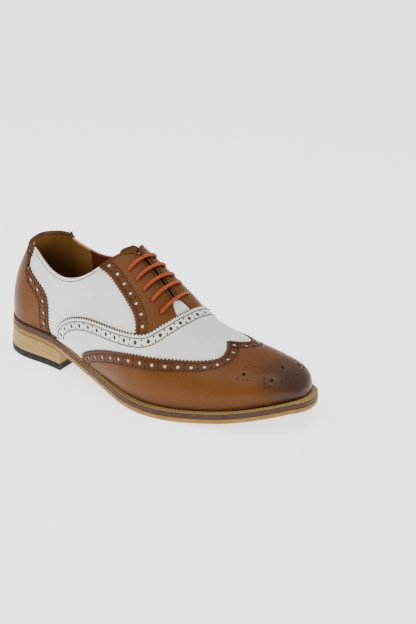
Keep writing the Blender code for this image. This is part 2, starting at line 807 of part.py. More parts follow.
def build_vamp(material):
    sides = []
    for side in (-1, 1):
        top, low = between(VAMP_LINE, WING_LINE, side)
        low[-1] = (low[-1][0], 0.0)
        low[0] = (low[0][0], flat_q(low[0][0], side))
        foot = feather_line(side, VAMP_LINE[0][0], station(float(np.interp(low[0][0], RIDGE_LENGTH, RIDGE_X))), 8)
        sides.append((top, low, foot))
    (top_l, low_l, foot_l), (top_m, low_m, foot_m) = sides
    outer = top_l + top_m[::-1][1:] + foot_m[1:-1] + low_m + low_l[::-1][1:] + foot_l[1:-1][::-1]
    return shell("vamp", outer, [], LAP, LAP + VAMP_WALL, material)


def flat_q(p, side):
    x = float(np.interp(p, RIDGE_LENGTH, RIDGE_X))
    return side * girth(x, 0.0, float(side))[0]


def build_facing(name, side, material):
    rear = line_points(FACING_REAR, side, 14)
    vamp = butt(line_points(VAMP_LINE, side, 80), side * BUTT)
    rear_share = [point for point in vamp if point[0] < rear[-1][0]]
    cut_start = min(range(len(vamp)), key=lambda k: math.dist(vamp[k], rear[-1]))
    notch = line_points(FACING_NOTCH, side, 9)
    cut_end = min(range(len(vamp)), key=lambda k: math.dist(vamp[k], notch[-1]))
    front_low, front_high = sorted((cut_start, cut_end))
    seam = vamp[front_low + 1:front_high]
    gap = side * 0.5 * THROAT_GAP
    top = line_points(FACING_TOP, side, 8)
    first = flat_point(FACING_TOP[-1][0], 0.0, side)[0] + 0.001
    last = notch[0][0] - 0.002
    slit = [(first + (last - first) * k / 10, gap) for k in range(11)]
    outer = rear[:-1] + seam + notch[::-1][1:] + slit[::-1] + top[::-1][:-1]
    return shell(name, outer, [], LAP, LAP + FACING_WALL, material)


def build_counter(material):
    fronts = []
    for side in (-1, 1):
        line = line_points(COUNTER_LINE, side, 18)
        top = collar_point(COUNTER_LINE[0][0], side)
        fronts.append([top] + [point for point in line[1:] if abs(point[1]) > abs(top[1]) + 0.0015])
    start = HEEL_CENTRE / LAST_LENGTH
    outer = fronts[0][::-1] + collar_fan(20) + fronts[1]
    outer += feather_line(1, COUNTER_LINE[-1][0], start, 6)[1:]
    outer += feather_fan(22)[::-1]
    outer += feather_line(-1, start, COUNTER_LINE[-1][0], 6)[:-1]
    return shell("counter", outer, [], LAP, LAP + COUNTER_WALL, material)


def build_tongue(material):
    first = flat_point(TONGUE_STATIONS[0], 0.0, -1)[0]
    last = flat_point(TONGUE_STATIONS[1], 0.0, -1)[0]
    steps = 12
    outer = []
    for k in range(steps + 1):
        t = k / steps
        half = TONGUE_HALF * (0.80 + 0.20 * math.sin(math.pi * min(1.0, 0.35 + t)))
        outer.append((first + (last - first) * t, -half))
    outer += [(p, -q) for p, q in outer[::-1]]
    high = -UPPER_WALL - TONGUE_GAP
    return shell("tongue", outer, [], high - TONGUE_WALL, high, material)


def build_insole(material):
    """Insole inside the foot of the upper."""
    inset = -(UPPER_WALL + 5 * CLEARANCE)
    lateral, medial = plan_inner(inset, 40)
    count = len(lateral)
    points = []
    for drop in (-(CLEARANCE + INSOLE_WALL), -CLEARANCE):
        for row in (lateral, medial):
            for x, y in row:
                points.append((x, y, float(sole_z(x, drop))))
    faces = []
    for i in range(count - 1):
        faces.append((i, i + 1, count + i + 1, count + i))
        faces.append((2 * count + i, 3 * count + i, 3 * count + i + 1, 2 * count + i + 1))
        faces.append((i, 2 * count + i, 2 * count + i + 1, i + 1))
        faces.append((count + i, count + i + 1, 3 * count + i + 1, 3 * count + i))
    points = np.array(points)
    return solid("insole", points, clean_faces(points, faces), material)


def plan_inner(inset, count):
    """Plan of the feather edge moved in by an inset."""
    turns = [math.pi / 2 * (1 - k / 10) for k in range(10)]
    share = np.linspace(0, 1, count)
    stations = HEEL_CENTRE + (LAST_LENGTH - HEEL_CENTRE) * (1 - (1 - share) ** 1.7)
    sides = []
    for side in (-1.0, 1.0):
        back = [surface(np.array([HEEL_CENTRE]), np.array([turn]), np.array([side]), np.array([-1.0]))[0]
                for turn in turns]
        ahead = [surface(np.array([x]), np.array([0.0]), np.array([side]), np.array([-1.0]))[0]
                 for x in stations]
        sides.append(np.array(back + ahead)[:, :2])
    lateral, medial = sides
    lateral[-1] = medial[-1] = 0.5 * (lateral[-1] + medial[-1])
    loop = np.concatenate([lateral, medial[::-1][1:-1]])
    tangent = np.roll(loop, -1, axis=0) - np.roll(loop, 1, axis=0)
    tangent /= np.linalg.norm(tangent, axis=1)[:, None]
    moved = loop + inset * np.stack([tangent[:, 1], -tangent[:, 0]], -1)
    total = len(lateral)
    return moved[:total], np.concatenate([moved[:1], moved[total:][::-1], moved[total - 1:total]])


for old in list(bpy.data.objects):
    bpy.data.objects.remove(old, do_unlink=True)

EDGE_LATERAL, EDGE_MEDIAL = plan_outline(0.0, 44)
ROW_SHIFT = -0.5 * float(min(EDGE_LATERAL[:, 0].min(), EDGE_MEDIAL[:, 0].min())
                         + max(EDGE_LATERAL[:, 0].max(), EDGE_MEDIAL[:, 0].max()))
ROW_SIDE = -0.5 * float(EDGE_LATERAL[:, 1].min() + EDGE_MEDIAL[:, 1].max())

white = paint("white_leather", (0.78, 0.77, 0.74), 0.42)
tan = paint("tan_leather", (0.30, 0.115, 0.045), 0.38)
lining = paint("lining_leather", (0.42, 0.25, 0.10), 0.60)
dark = paint("midsole_brown", (0.070, 0.028, 0.024), 0.55)
natural = paint("natural_sole", (0.45, 0.27, 0.12), 0.55)
stack = paint("stacked_heel", (0.50, 0.36, 0.18), 0.55)
rubber = paint("black_rubber", (0.012, 0.012, 0.013), 0.60)
cord = paint("waxed_lace", (0.42, 0.095, 0.022), 0.40)

build_upper(white)
build_wing(tan)
build_vamp(white)
build_facing("facing_lateral", -1, tan)
build_facing("facing_medial", 1, tan)
build_counter(tan)
build_tongue(white)
build_insole(lining)

layer("welt", 0.0, CLEARANCE, CLEARANCE + WELT_WALL, natural)
layer("midsole", -MIDSOLE_STEP, 2 * CLEARANCE + WELT_WALL, 2 * CLEARANCE + WELT_WALL + MIDSOLE_WALL, dark)
layer("outsole", OUTSOLE_STEP, 3 * CLEARANCE + WELT_WALL + MIDSOLE_WALL, SOLE_WALL, natural, rest=True)


def heel_top(x):
    return float(sole_z(x, SOLE_WALL)) - FLAT_REST - CLEARANCE


heel_block("heel_stack", heel_top, lambda x: TOP_LIFT_WALL + CLEARANCE, 0.0, HEEL_TAPER, stack)
heel_block("heel_top_lift", lambda x: TOP_LIFT_WALL, lambda x: 0.0, HEEL_TAPER, HEEL_TAPER, rubber)

for number, bar_station in enumerate(LACE_STATIONS, 1):
    lace_bar(f"lace_bar_{number}", bar_station, cord)
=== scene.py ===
"""Two-tone full brogue oxford, right shoe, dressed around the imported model.

Leather panels, punched holes, stitches, laces and sole edges are laid out on the last surface.
A place on it is a pattern point: length along the ridge and girth from the ridge, lateral negative.
"""

import math

import bpy
import numpy as np
from mathutils import Matrix, Vector
from mathutils.geometry import delaunay_2d_cdt


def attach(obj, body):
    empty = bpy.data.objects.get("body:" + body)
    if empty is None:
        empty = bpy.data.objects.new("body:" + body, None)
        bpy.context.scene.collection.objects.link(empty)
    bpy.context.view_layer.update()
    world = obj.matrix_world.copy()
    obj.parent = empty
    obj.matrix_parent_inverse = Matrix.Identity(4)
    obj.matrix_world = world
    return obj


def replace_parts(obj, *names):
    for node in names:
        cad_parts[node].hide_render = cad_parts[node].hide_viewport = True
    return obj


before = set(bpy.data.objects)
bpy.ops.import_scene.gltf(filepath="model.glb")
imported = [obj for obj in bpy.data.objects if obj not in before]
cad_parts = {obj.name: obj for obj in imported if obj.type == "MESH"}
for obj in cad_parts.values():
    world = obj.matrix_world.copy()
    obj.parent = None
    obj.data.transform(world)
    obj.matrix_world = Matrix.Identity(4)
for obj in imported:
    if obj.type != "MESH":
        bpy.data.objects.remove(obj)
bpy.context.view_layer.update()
MM = 0.001

# Last
LAST_LENGTH = 0.2885
HEEL_CENTRE = 0.0320
BALL_WIDTH = 0.0980
INSTEP_HEIGHT = 0.0870
SWING = 0.0228
RIDGE_SHIFT = 0.0030
BULGE = 0.0035
BULGE_LEVEL = 0.0220
TOE_REACH = 0.0600
TOE_WALL = 0.0340
HEEL_LEAN = 0.0150
TOE_SPRING = 0.0150
HEEL_PITCH = 0.0226

# Upper
COLLAR_HEIGHT = 0.0700
THROAT_GAP = 0.0030
CLEARANCE = 0.0003

THROAT_END = 0.572
WAIST_STATION = 0.69
BALL_STATION = 0.70
TONGUE_STATIONS = [0.386, 0.640]
TONGUE_HALF = 0.0300

# Lining, where the front part starts along the pattern
FRONT_LINING = 0.0210

# Lace
LACE_DIAMETER = 0.0029
LACE_ARCH = 0.0016
EYELET = 0.0016

# Overlays: teeth, rows off the edge, punched holes, depth of the dark discs that paint the shade in the small
# holes, lifts and troughs
TOOTH = 0.0030
TOOTH_DEPTH = 0.0016
EDGE_ROW = 0.0020
HOLE_ROW = 0.0053
INNER_ROW = 0.0088
HOLE_PITCH = 0.0108
PAIR_SPREAD = 0.00195
BIG_HOLE = 0.00145
SMALL_HOLE = 0.00076
VAMP_BIG_HOLE = 0.0016
VAMP_SMALL_HOLE = 0.00078
SMALL_LIMIT = 0.0010
HOLE_SHADE_DEPTH = 0.0003
FACE_LIFT = 0.0012
QUARTER_WALL = 0.0011
GROOVE = 0.0006
SEAM_DEPTH = 0.00015
LIP = 0.00042
BIG_SIDES = 14
SMALL_SIDES = 8
TROUGH_STEPS = (-1.6, -0.7, 0.0, 0.7, 1.6)

# Sole
WELT_WALL = 0.0012
MIDSOLE_WALL = 0.0034
OUTSOLE_WALL = 0.0042
SOLE_EDGE_BALL = 0.0055
HEEL_LENGTH = 0.0720
HEEL_TAPER = 0.0010
BREAST_HOLLOW = 0.0030
TOP_LIFT_WALL = 0.0060
FLAT_REST = 0.0002

# station, lateral and medial half width / ball width, ridge height / instep height, fullness,
# lateral bulge / bulge, bulge level / level, ridge shift / shift, medial bulge / bulge, roundness,
# medial fullness
SECTIONS = [
    (0.00, .306, .306, 1.220, 1.30, 0.35, 0.90, 0.00, 0.35, 1.00, 1.30),
    (0.11, .317, .306, 1.250, 1.35, 0.45, 0.95, 0.20, 0.60, 1.00, 1.35),
    (0.22, .314, .296, 1.280, 1.30, 0.80, 1.00, 0.40, 1.30, 0.95, 1.25),
    (0.34, .382, .270, 1.180, 1.22, 1.00, 0.90, 1.10, 2.20, 0.90, 0.76),
    (0.46, .466, .286, 1.030, 1.20, 1.00, 0.80, 1.30, 2.90, 0.85, 0.98),
    (0.56, .541, .342, 0.872, 1.08, 0.95, 0.68, -0.10, 2.60, 0.82, 1.08),
    (0.64, .551, .403, 0.660, 0.98, 0.85, 0.57, -0.30, 1.35, 0.84, 0.98),
    (0.71, .519, .441, 0.545, 0.92, 0.75, 0.50, 0.60, 0.50, 0.88, 0.92),
    (0.78, .474, .434, 0.438, 0.86, 0.68, 0.44, 1.00, 0.30, 0.92, 0.86),
    (0.85, .419, .418, 0.375, 0.82, 0.60, 0.40, 0.55, 0.60, 0.96, 0.82),
    (0.92, .350, .406, 0.315, 0.76, 0.52, 0.37, 0.30, 0.52, 1.00, 0.76),
    (1.00, .280, .376, 0.285, 0.72, 0.45, 0.34, 0.00, 0.45, 1.00, 0.72),
]

# station, feather height as a share of the heel pitch, as a share of the toe spring
FEATHER = [
    (0.00, 0.980, 0.00),
    (0.10, 0.940, 0.00),
    (0.20, 0.850, 0.00),
    (0.30, 0.635, 0.00),
    (0.40, 0.395, 0.00),
    (0.50, 0.155, 0.00),
    (0.60, 0.010, 0.00),
    (0.70, 0.000, 0.01),
    (0.80, 0.000, 0.22),
    (0.90, 0.000, 0.53),
    (1.00, 0.000, 1.00),
]

# height above the feather / instep height, forward lean of the back curve / heel lean
BACK_CURVE = [
    (0.00, 0.04),
    (0.10, 0.04),
    (0.20, 0.10),
    (0.32, 0.22),
    (0.46, 0.43),
    (0.58, 0.74),
    (0.70, 1.10),
    (0.82, 1.46),
    (1.30, 2.90),
]

# station, welt and sole edge beyond the feather / the edge at the ball
SOLE_EDGE = [
    (0.00, 0.45),
    (0.20, 0.50),
    (0.40, 0.62),
    (0.60, 0.95),
    (0.80, 1.05),
    (1.00, 1.25),
]

# station, lateral and medial collar height above the feather / collar height
COLLAR = [
    (0.00, 1.040, 1.040),
    (0.06, 1.045, 1.005),
    (0.11, 1.025, 0.938),
    (0.13, 0.985, 0.895),
    (0.166, 0.893, 0.850),
    (0.208, 0.832, 0.822),
    (0.248, 0.838, 0.848),
    (0.281, 0.888, 0.895),
    (0.316, 0.970, 0.970),
    (0.349, 1.084, 1.084),
]

# station, share of girth, along the top of the facing from the collar to the throat
FACING_TOP = [
    (0.369, 0.281),
    (0.385, 0.208),
    (0.397, 0.142),
    (0.405, 0.104),
    (0.413, 0.066),
    (0.424, 0.030),
]

# rear edge of the facing from its top corner to the vamp line
FACING_REAR = [
    (0.369, 0.281),
    (0.412, 0.284),
    (0.458, 0.315),
    (0.497, 0.343),
    (0.527, 0.370),
    (0.545, 0.405),
    (0.557, 0.455),
    (0.562, 0.500),
]

# upper edge of the vamp from the waist to the ridge
VAMP_LINE = [
    (0.240, 1.000),
    (0.240, 0.930),
    (0.265, 0.833),
    (0.308, 0.746),
    (0.354, 0.685),
    (0.399, 0.645),
    (0.453, 0.606),
    (0.507, 0.562),
    (0.557, 0.510),
    (0.586, 0.458),
    (0.602, 0.380),
    (0.613, 0.250),
    (0.617, 0.120),
    (0.618, 0.000),
]

# upper edge of the wing cap from the waist to its peak on the ridge
WING_LINE = [
    (0.357, 1.000),
    (0.366, 0.935),
    (0.404, 0.856),
    (0.460, 0.772),
    (0.548, 0.665),
    (0.615, 0.591),
    (0.669, 0.535),
    (0.721, 0.476),
    (0.763, 0.385),
    (0.779, 0.265),
    (0.770, 0.130),
    (0.756, 0.050),
    (0.746, 0.000),
]

# front edge of the counter from the collar to the feather
COUNTER_LINE = [
    (0.119, 0.399),
    (0.113, 0.470),
    (0.111, 0.540),
    (0.121, 0.582),
    (0.148, 0.634),
    (0.176, 0.686),
    (0.192, 0.742),
    (0.197, 0.836),
    (0.195, 0.930),
    (0.199, 1.000),
]

# station and mm off the ridge at the lateral end of each lace bar, then at the medial end
LACES = [
    (0.449, -18.6, 0.449, 15.0),
    (0.484, -20.0, 0.482, 15.8),
    (0.518, -21.3, 0.517, 16.4),
    (0.552, -22.1, 0.543, 16.6),
    (0.586, -22.7, 0.574, 15.6),
]

# station, throat slit off the ridge in mm
SLIT_DRIFT = [
    (0.424, 0.0),
    (0.462, 0.6),
    (0.494, 0.3),
    (0.540, -1.3),
    (0.577, -2.2),
    (0.617, -2.7),
]

# station, half width in mm of the white notch below the throat
NOTCH = [
    (0.5830, 0.15),
    (0.5845, 3.4),
    (0.5885, 5.6),
    (0.598, 7.2),
    (0.608, 8.4),
    (0.620, 10.2),
]


def spline(rows, column):
    """Smooth curve through one column of a table, by its first column."""
    knots = np.array([row[0] for row in rows], float)
    values = np.array([row[column] for row in rows], float)
    steps = np.diff(knots)
    rises = np.diff(values) / steps
    slopes = np.zeros_like(values)
    slopes[1:-1] = (steps[1:] * rises[:-1] + steps[:-1] * rises[1:]) / (steps[:-1] + steps[1:])
    slopes[0] = 1.5 * rises[0] - 0.5 * slopes[1]
    slopes[-1] = 1.5 * rises[-1] - 0.5 * slopes[-2]

    def at(place):
        place = np.asarray(place, float)
        i = np.clip(np.searchsorted(knots, place) - 1, 0, len(knots) - 2)
        t = (place - knots[i]) / steps[i]
        start = (2 * t**3 - 3 * t**2 + 1) * values[i] + (t**3 - 2 * t**2 + t) * steps[i] * slopes[i]
        end = (3 * t**2 - 2 * t**3) * values[i + 1] + (t**3 - t**2) * steps[i] * slopes[i + 1]
        return start + end

    return at


(LATERAL_HALF, MEDIAL_HALF, RIDGE_HEIGHT, FULLNESS, LATERAL_BULGE, LEVEL, SHIFT, MEDIAL_BULGE, ROUNDNESS,
 MEDIAL_FULLNESS) = [spline(SECTIONS, column) for column in range(1, 11)]
SEAT_PART = spline(FEATHER, 1)
SPRING_PART = spline(FEATHER, 2)
LEAN_AT = spline(BACK_CURVE, 1)
EDGE_AT = spline(SOLE_EDGE, 1)
COLLAR_LATERAL = spline(COLLAR, 1)
COLLAR_MEDIAL = spline(COLLAR, 2)

SOLE_WALL = WELT_WALL + MIDSOLE_WALL + OUTSOLE_WALL + 3 * CLEARANCE
HEEL_POWER = 2.15
DOME_START = 0.80


def station(x):
    return x / LAST_LENGTH


def feather_z(x):
    s = np.clip(station(x), 0, 1)
    return SOLE_WALL + HEEL_PITCH * SEAT_PART(s) + TOE_SPRING * SPRING_PART(s)


def closing(x, reach, power):
    """1 along the last, falling to 0 at the toe tip over the reach."""
    t = np.clip((x - (LAST_LENGTH - reach)) / reach, 0, 1)
    return (1 - t**power) ** (1 / power)


def swing(x):
    return SWING * np.clip((x - HEEL_CENTRE) / (LAST_LENGTH - HEEL_CENTRE), 0, 1) ** 2


def section(x, side, a):
    """y, z above the feather and ridge height; a runs from -1 at the feather, by 0 at the bulge, to 1."""
    s = station(x)
    lateral = side < 0
    half = BALL_WIDTH * np.where(lateral, LATERAL_HALF(s), MEDIAL_HALF(s)) * closing(x, TOE_REACH, 2.15)
    height = INSTEP_HEIGHT * RIDGE_HEIGHT(s) * closing(x, TOE_WALL, 2.0)
    out = BULGE * np.where(lateral, LATERAL_BULGE(s), MEDIAL_BULGE(s)) * closing(x, 0.7 * TOE_REACH, 2.0)
    lift = np.minimum(BULGE_LEVEL * LEVEL(s), 0.35 * height)
    turn = np.clip(a, 0, 1) * math.pi / 2
    down = np.clip(a, -1, 0)
    y = (half + out) * np.maximum(np.cos(turn), 1e-9) ** ROUNDNESS(s) - out * down**2
    full = np.where(lateral, FULLNESS(s), MEDIAL_FULLNESS(s))
    z = lift * (1 + down) + (height - lift) * np.sin(turn) ** full
    twist = RIDGE_SHIFT * SHIFT(s) * closing(x, TOE_REACH, 2.0) * (z / np.maximum(height, 1e-9)) ** 2
    return side * y + twist + swing(x), z, height


def surface(x, turn, side, a):
    """Last surface: ribs in planes across the last, and fanned around the heel where turn is above 0."""
    x_plane = np.maximum(x, HEEL_CENTRE)
    y, z, height = section(x_plane, side, a)
    rise = z / INSTEP_HEIGHT
    dome = np.clip(rise - DOME_START, 0, None) / (height / INSTEP_HEIGHT - DOME_START)
    reach = (HEEL_CENTRE - HEEL_LEAN * LEAN_AT(rise)) * np.sqrt(np.clip(1 - dome**2, 0, 1))
    across = np.maximum(np.abs(y), 1e-6)
    reach = np.maximum(reach, 1e-6)
    c = np.maximum(np.cos(turn), 1e-9)
    n = np.maximum(np.sin(turn), 1e-9)
    r = ((c / across) ** HEEL_POWER + (n / reach) ** HEEL_POWER) ** (-1 / HEEL_POWER)
    fanned = turn > 0
    px = np.where(fanned, HEEL_CENTRE - r * n, x_plane)
    py = np.where(fanned, side * r * c, y)
    pz = feather_z(np.where(fanned, np.maximum(px, 0), x_plane)) + z
    return np.stack([px, py, pz], -1)


RIB = np.concatenate([np.linspace(-1, 0, 9)[:-1], np.linspace(0, 1, 56)])
TIP = LAST_LENGTH * (1 - 1e-4)
TIP_BLEND = 0.0160


def rib_lengths(x, turn, side):
    """Girth along each rib from the feather up to each step of RIB."""
    count = len(x)
    steps = len(RIB)
    points = surface(
        np.repeat(x[:, None], steps, 1),
        np.repeat(turn[:, None], steps, 1),
        np.repeat(side[:, None], steps, 1),
        np.repeat(RIB[None], count, 0),
    )
    lengths = np.linalg.norm(np.diff(points, axis=1), axis=2)
    return np.concatenate([np.zeros((count, 1)), np.cumsum(lengths, 1)], 1)


def run_lengths(points):
    """Length along a polyline up to each of its points."""
    return np.concatenate([[0], np.cumsum(np.linalg.norm(np.diff(points, axis=0), axis=1))])


def ridge_table():
    share = np.linspace(0, 1, 400)
    xs = HEEL_CENTRE + (LAST_LENGTH - HEEL_CENTRE) * (1 - (1 - share) ** 2.2)
    count = len(xs)
    points = surface(xs, np.zeros(count), np.full(count, -1.0), np.ones(count))
    return xs, run_lengths(points)


RIDGE_X, RIDGE_LENGTH = ridge_table()


def girth(x, turn, side):
    return rib_lengths(np.atleast_1d(x), np.atleast_1d(turn), np.atleast_1d(side))[:, -1]


def flat_point(s, share, side):
    """Pattern coordinates of a station and a share of girth."""
    x = min(max(s * LAST_LENGTH, HEEL_CENTRE), TIP)
    length = girth(x, 0.0, float(side))[0]
    return float(np.interp(x, RIDGE_X, RIDGE_LENGTH)), side * share * length


def fan_shift(turn, side):
    """Part of the girth dropped on the heel fan, so that patterns run on smoothly from the straight ribs."""
    rest = 1 - np.clip(turn / (math.pi / 2), 0, 1)
    share = rest * rest * (3 - 2 * rest)
    return np.where(turn > 0, share * np.where(side < 0, SHIFTS[0], SHIFTS[1]), 0.0)


SHIFTS = [float((girth(HEEL_CENTRE, 1e-4, side) - girth(HEEL_CENTRE, 0.0, side))[0]) for side in (-1.0, 1.0)]


def fan_point(turn, height, side):
    """Pattern coordinates of a height above the feather on a rib of the heel fan."""
    lengths = rib_lengths(np.array([HEEL_CENTRE]), np.array([turn]), np.array([float(side)]))[0]
    count = len(RIB)
    points = surface(np.full(count, HEEL_CENTRE), np.full(count, turn), np.full(count, float(side)), RIB)
    heights = points[:, 2] - feather_z(np.maximum(points[:, 0], 0))
    rho = lengths[-1] - float(fan_shift(turn, side)) - float(np.interp(height, heights, lengths))
    return -rho * math.sin(turn), side * rho * math.cos(turn)


def collar_height(s, side):
    return COLLAR_HEIGHT * float((COLLAR_LATERAL if side < 0 else COLLAR_MEDIAL)(s))


def collar_point(s, side):
    """Pattern coordinates of the collar at a station."""
    x = s * LAST_LENGTH
    lengths = rib_lengths(np.array([x]), np.array([0.0]), np.array([float(side)]))[0]
    heights = section(np.full(len(RIB), x), np.full(len(RIB), float(side)), RIB)[1]
    rho = lengths[-1] - float(np.interp(collar_height(s, side), heights, lengths))
    return float(np.interp(x, RIDGE_X, RIDGE_LENGTH)), side * rho


def in_slices(count, rule, size=2000):
    """A rule's results for slices of the points, joined, so that no table grows too large."""
    return np.concatenate([rule(slice(start, start + size)) for start in range(0, max(count, 1), size)])


def solve(flat):
    """Rib, side and position along the rib for pattern points."""
    flat = np.asarray(flat, float)
    p, q = flat[:, 0], flat[:, 1]
    side = np.where(q < 0, -1.0, 1.0)
    forward = p >= 0
    x = np.where(forward, np.interp(p, RIDGE_LENGTH, RIDGE_X), HEEL_CENTRE)
    x = np.minimum(x, TIP)
    turn = np.where(forward, 0.0, np.arctan2(-p, np.abs(q)))
    rho = np.where(forward, np.abs(q), np.hypot(p, q))

    def along(part):
        lengths = rib_lengths(x[part], turn[part], side[part])
        target = np.clip(lengths[:, -1] - fan_shift(turn[part], side[part]) - rho[part], 0, None)
        i = np.clip((lengths < target[:, None]).sum(1) - 1, 0, len(RIB) - 2)
        row = np.arange(len(i))
        share = (target - lengths[row, i]) / np.maximum(lengths[row, i + 1] - lengths[row, i], 1e-12)
        return RIB[i] + np.clip(share, 0, 1) * (RIB[i + 1] - RIB[i])

    return x, turn, side, in_slices(len(p), along, 4000)


def place(flat, lift):
    """Points on the last surface, lifted along its normal, in the row frame."""
    x, turn, side, a = solve(flat)
    points = surface(x, turn, side, a)
    reach = np.broadcast_to(np.asarray(lift, float), (len(points),))
    moved = points + reach[:, None] * normals(x, turn, side, a)
    ends = np.clip(np.stack([points[:, 0], moved[:, 0]]), 0, None)
    moved[:, 2] += (feather_z(ends[1]) - feather_z(ends[0])) * np.clip(-a, 0, 1)
    return moved + ROW


def normals(x, turn, side, a):
    """Outward unit normals of the last surface."""
    step_a = 0.01
    low, high = np.clip(a - step_a, -1, 0.999), np.clip(a + step_a, -1, 0.999)
    up = surface(x, turn, side, high) - surface(x, turn, side, low)
    step_x = 0.0006
    far = np.minimum(x + step_x, LAST_LENGTH * 0.9999)
    near = np.maximum(far - 2 * step_x, HEEL_CENTRE)
    along_x = surface(far, turn, side, a) - surface(near, turn, side, a)
    more, less = np.clip(turn + 0.01, 1e-4, math.pi / 2), np.clip(turn - 0.01, 1e-4, math.pi / 2)
    along_turn = surface(x, less, side, a) - surface(x, more, side, a)
    along = np.where((turn > 0)[:, None], along_turn, along_x)
    normal = np.cross(up, along) * np.where(side < 0, -1.0, 1.0)[:, None]
    normal[:, 2] = np.where(a < 0, np.maximum(normal[:, 2], 0), normal[:, 2])
    normal /= np.maximum(np.linalg.norm(normal, axis=1), 1e-15)[:, None]
    points = surface(x, turn, side, a)
    centre = np.array([LAST_LENGTH - 0.5 * TOE_REACH, SWING, 0.0])
    radial = points - centre
    radial[:, 2] = np.clip(a, 0, 1) * TOE_WALL
    radial /= np.linalg.norm(radial, axis=1)[:, None]
    tip = np.clip((x - (LAST_LENGTH - TIP_BLEND)) / (0.8 * TIP_BLEND), 0, 1)[:, None]
    tip = tip * tip * (3 - 2 * tip)
    normal = (1 - tip) * normal + tip * radial
    return normal / np.linalg.norm(normal, axis=1)[:, None]


def smooth_line(rows, count):
    """Evenly spaced points of a smooth curve through table rows."""
    knots = np.arange(len(rows), dtype=float)
    first = spline([(k, row[0]) for k, row in zip(knots, rows)], 1)
    second = spline([(k, row[1]) for k, row in zip(knots, rows)], 1)
    dense = np.linspace(0, len(rows) - 1, 20 * len(rows))
    xs, ys = first(dense), second(dense)
    lengths = np.concatenate([[0], np.cumsum(np.hypot(np.diff(xs), np.diff(ys) * 0.4))])
    at = np.interp(np.linspace(0, lengths[-1], count), lengths, dense)
    return [(float(first(k)), float(second(k))) for k in at]


def seam(rows, side, count=240):
    """A table of stations and girth shares as a dense pattern line on one side."""
    return np.array([flat_point(s, share, side) for s, share in smooth_line(rows, count)])


def feather_path(first, last, side, count=120):
    """Feather edge between two stations, in pattern coordinates."""
    return np.array([flat_point(first + (last - first) * t, 1.0, side) for t in np.linspace(0, 1, count)])


def heel_fan(count, height=None):
    """Feather edge, or a line of given height, round the heel from lateral to medial, ends left out."""
    points = []
    for k in range(1, count):
        turn = math.pi * k / count
        side = -1 if turn < math.pi / 2 else 1
        angle = turn if side < 0 else math.pi - turn
        share = 1 - angle / (math.pi / 2)
        level = height(share * HEEL_CENTRE / LAST_LENGTH, side) if height else 0.0
        points.append(fan_point(angle, level, side))
    return points


def toe_line(side, count):
    """Feather edge from the ball to the tip, closer together towards the tip."""
    shares = 1 - (1 - np.linspace(0, 1, count)) ** 2.0
    return np.array([flat_point(BALL_STATION + 0.2999 * share, 1.0, side) for share in shares])


def foot_loop(count, back):
    """Plan of the feather edge, from the back along the lateral side to the tip and back: a closed loop."""
    turns = math.pi / 2 * (1 - np.arange(back) / back)
    stations = HEEL_CENTRE + (LAST_LENGTH - HEEL_CENTRE) * (1 - (1 - np.linspace(0, 1, count)) ** 1.7)
    sides = []
    for side in (-1.0, 1.0):
        fan = surface(np.full(back, HEEL_CENTRE), turns, np.full(back, side), np.full(back, -1.0))
        ahead = surface(stations, np.zeros(count), np.full(count, side), np.full(count, -1.0))
        sides.append(np.concatenate([fan, ahead])[:, :2])
    lateral, medial = sides
    lateral[-1] = medial[-1] = 0.5 * (lateral[-1] + medial[-1])
    return np.concatenate([lateral, medial[::-1][1:-1]])


def moved_out(loop, extra):
    """Loop moved out by the sole edge and some extra, and its outward directions."""
    tangent = np.roll(loop, -1, axis=0) - np.roll(loop, 1, axis=0)
    tangent /= np.linalg.norm(tangent, axis=1)[:, None]
    outward = np.stack([tangent[:, 1], -tangent[:, 0]], -1)
    reach = SOLE_EDGE_BALL * EDGE_AT(np.clip(station(loop[:, 0]), 0, 1)) + extra
    return loop + outward * reach[:, None], outward


ROW = np.zeros(3)
SOLE_LOOP = moved_out(foot_loop(44, 10), 0.0)[0]
ROW = np.append(-0.5 * (SOLE_LOOP.min(0) + SOLE_LOOP.max(0)), 0.0)


# Pattern work

def metric(flat):
    """Stretch of the pattern plane at each point, as 2 x 2 matrices."""
    flat = np.asarray(flat, float)
    step = 0.0005
    along = (place(flat + (step, 0), 0.0) - place(flat - (step, 0), 0.0)) / (2 * step)
    around = (place(flat + (0, step), 0.0) - place(flat - (0, step), 0.0)) / (2 * step)
    g = np.empty((len(flat), 2, 2))
    g[:, 0, 0] = np.maximum((along**2).sum(1), 0.05)
    g[:, 1, 1] = np.maximum((around**2).sum(1), 0.05)
    g[:, 0, 1] = g[:, 1, 0] = np.clip((along * around).sum(1), -0.9, 0.9) * np.sqrt(
        np.minimum(1.0, 0.8 * g[:, 0, 0] * g[:, 1, 1]))
    return g


def offset(line, amount):
    """Pattern line moved to its left by true distances."""
    line = np.asarray(line, float)
    tangent = np.gradient(line, axis=0)
    side = np.stack([-tangent[:, 1], tangent[:, 0]], -1)
    g = metric(line)
    move = np.linalg.solve(g, side[:, :, None])[:, :, 0]
    size = np.sqrt(np.einsum("ni,nij,nj->n", move, g, move))
    return line + move * (np.broadcast_to(amount, (len(line),)) / np.maximum(size, 1e-12))[:, None]


def true_lengths(line):
    """Real length along a pattern line up to each of its points."""
    return run_lengths(place(line, 0.0))


def spaced(line, pitch, parts=1):
    """Line resampled at an even true pitch; the number of steps is a multiple of parts."""
    line = np.asarray(line, float)
    lengths = true_lengths(line)
    steps = max(parts, parts * int(round(lengths[-1] / (pitch * parts))))
    at = np.linspace(0, lengths[-1], steps + 1)
    return np.stack([np.interp(at, lengths, line[:, k]) for k in (0, 1)], -1)


def gimped(line, pitch, depth):
    """Line with pinked teeth that point to its left."""
    line = spaced(line, pitch / 2, 2)
    push = np.where(np.arange(len(line)) % 2 == 1, depth, 0.0)
    return offset(line, push)


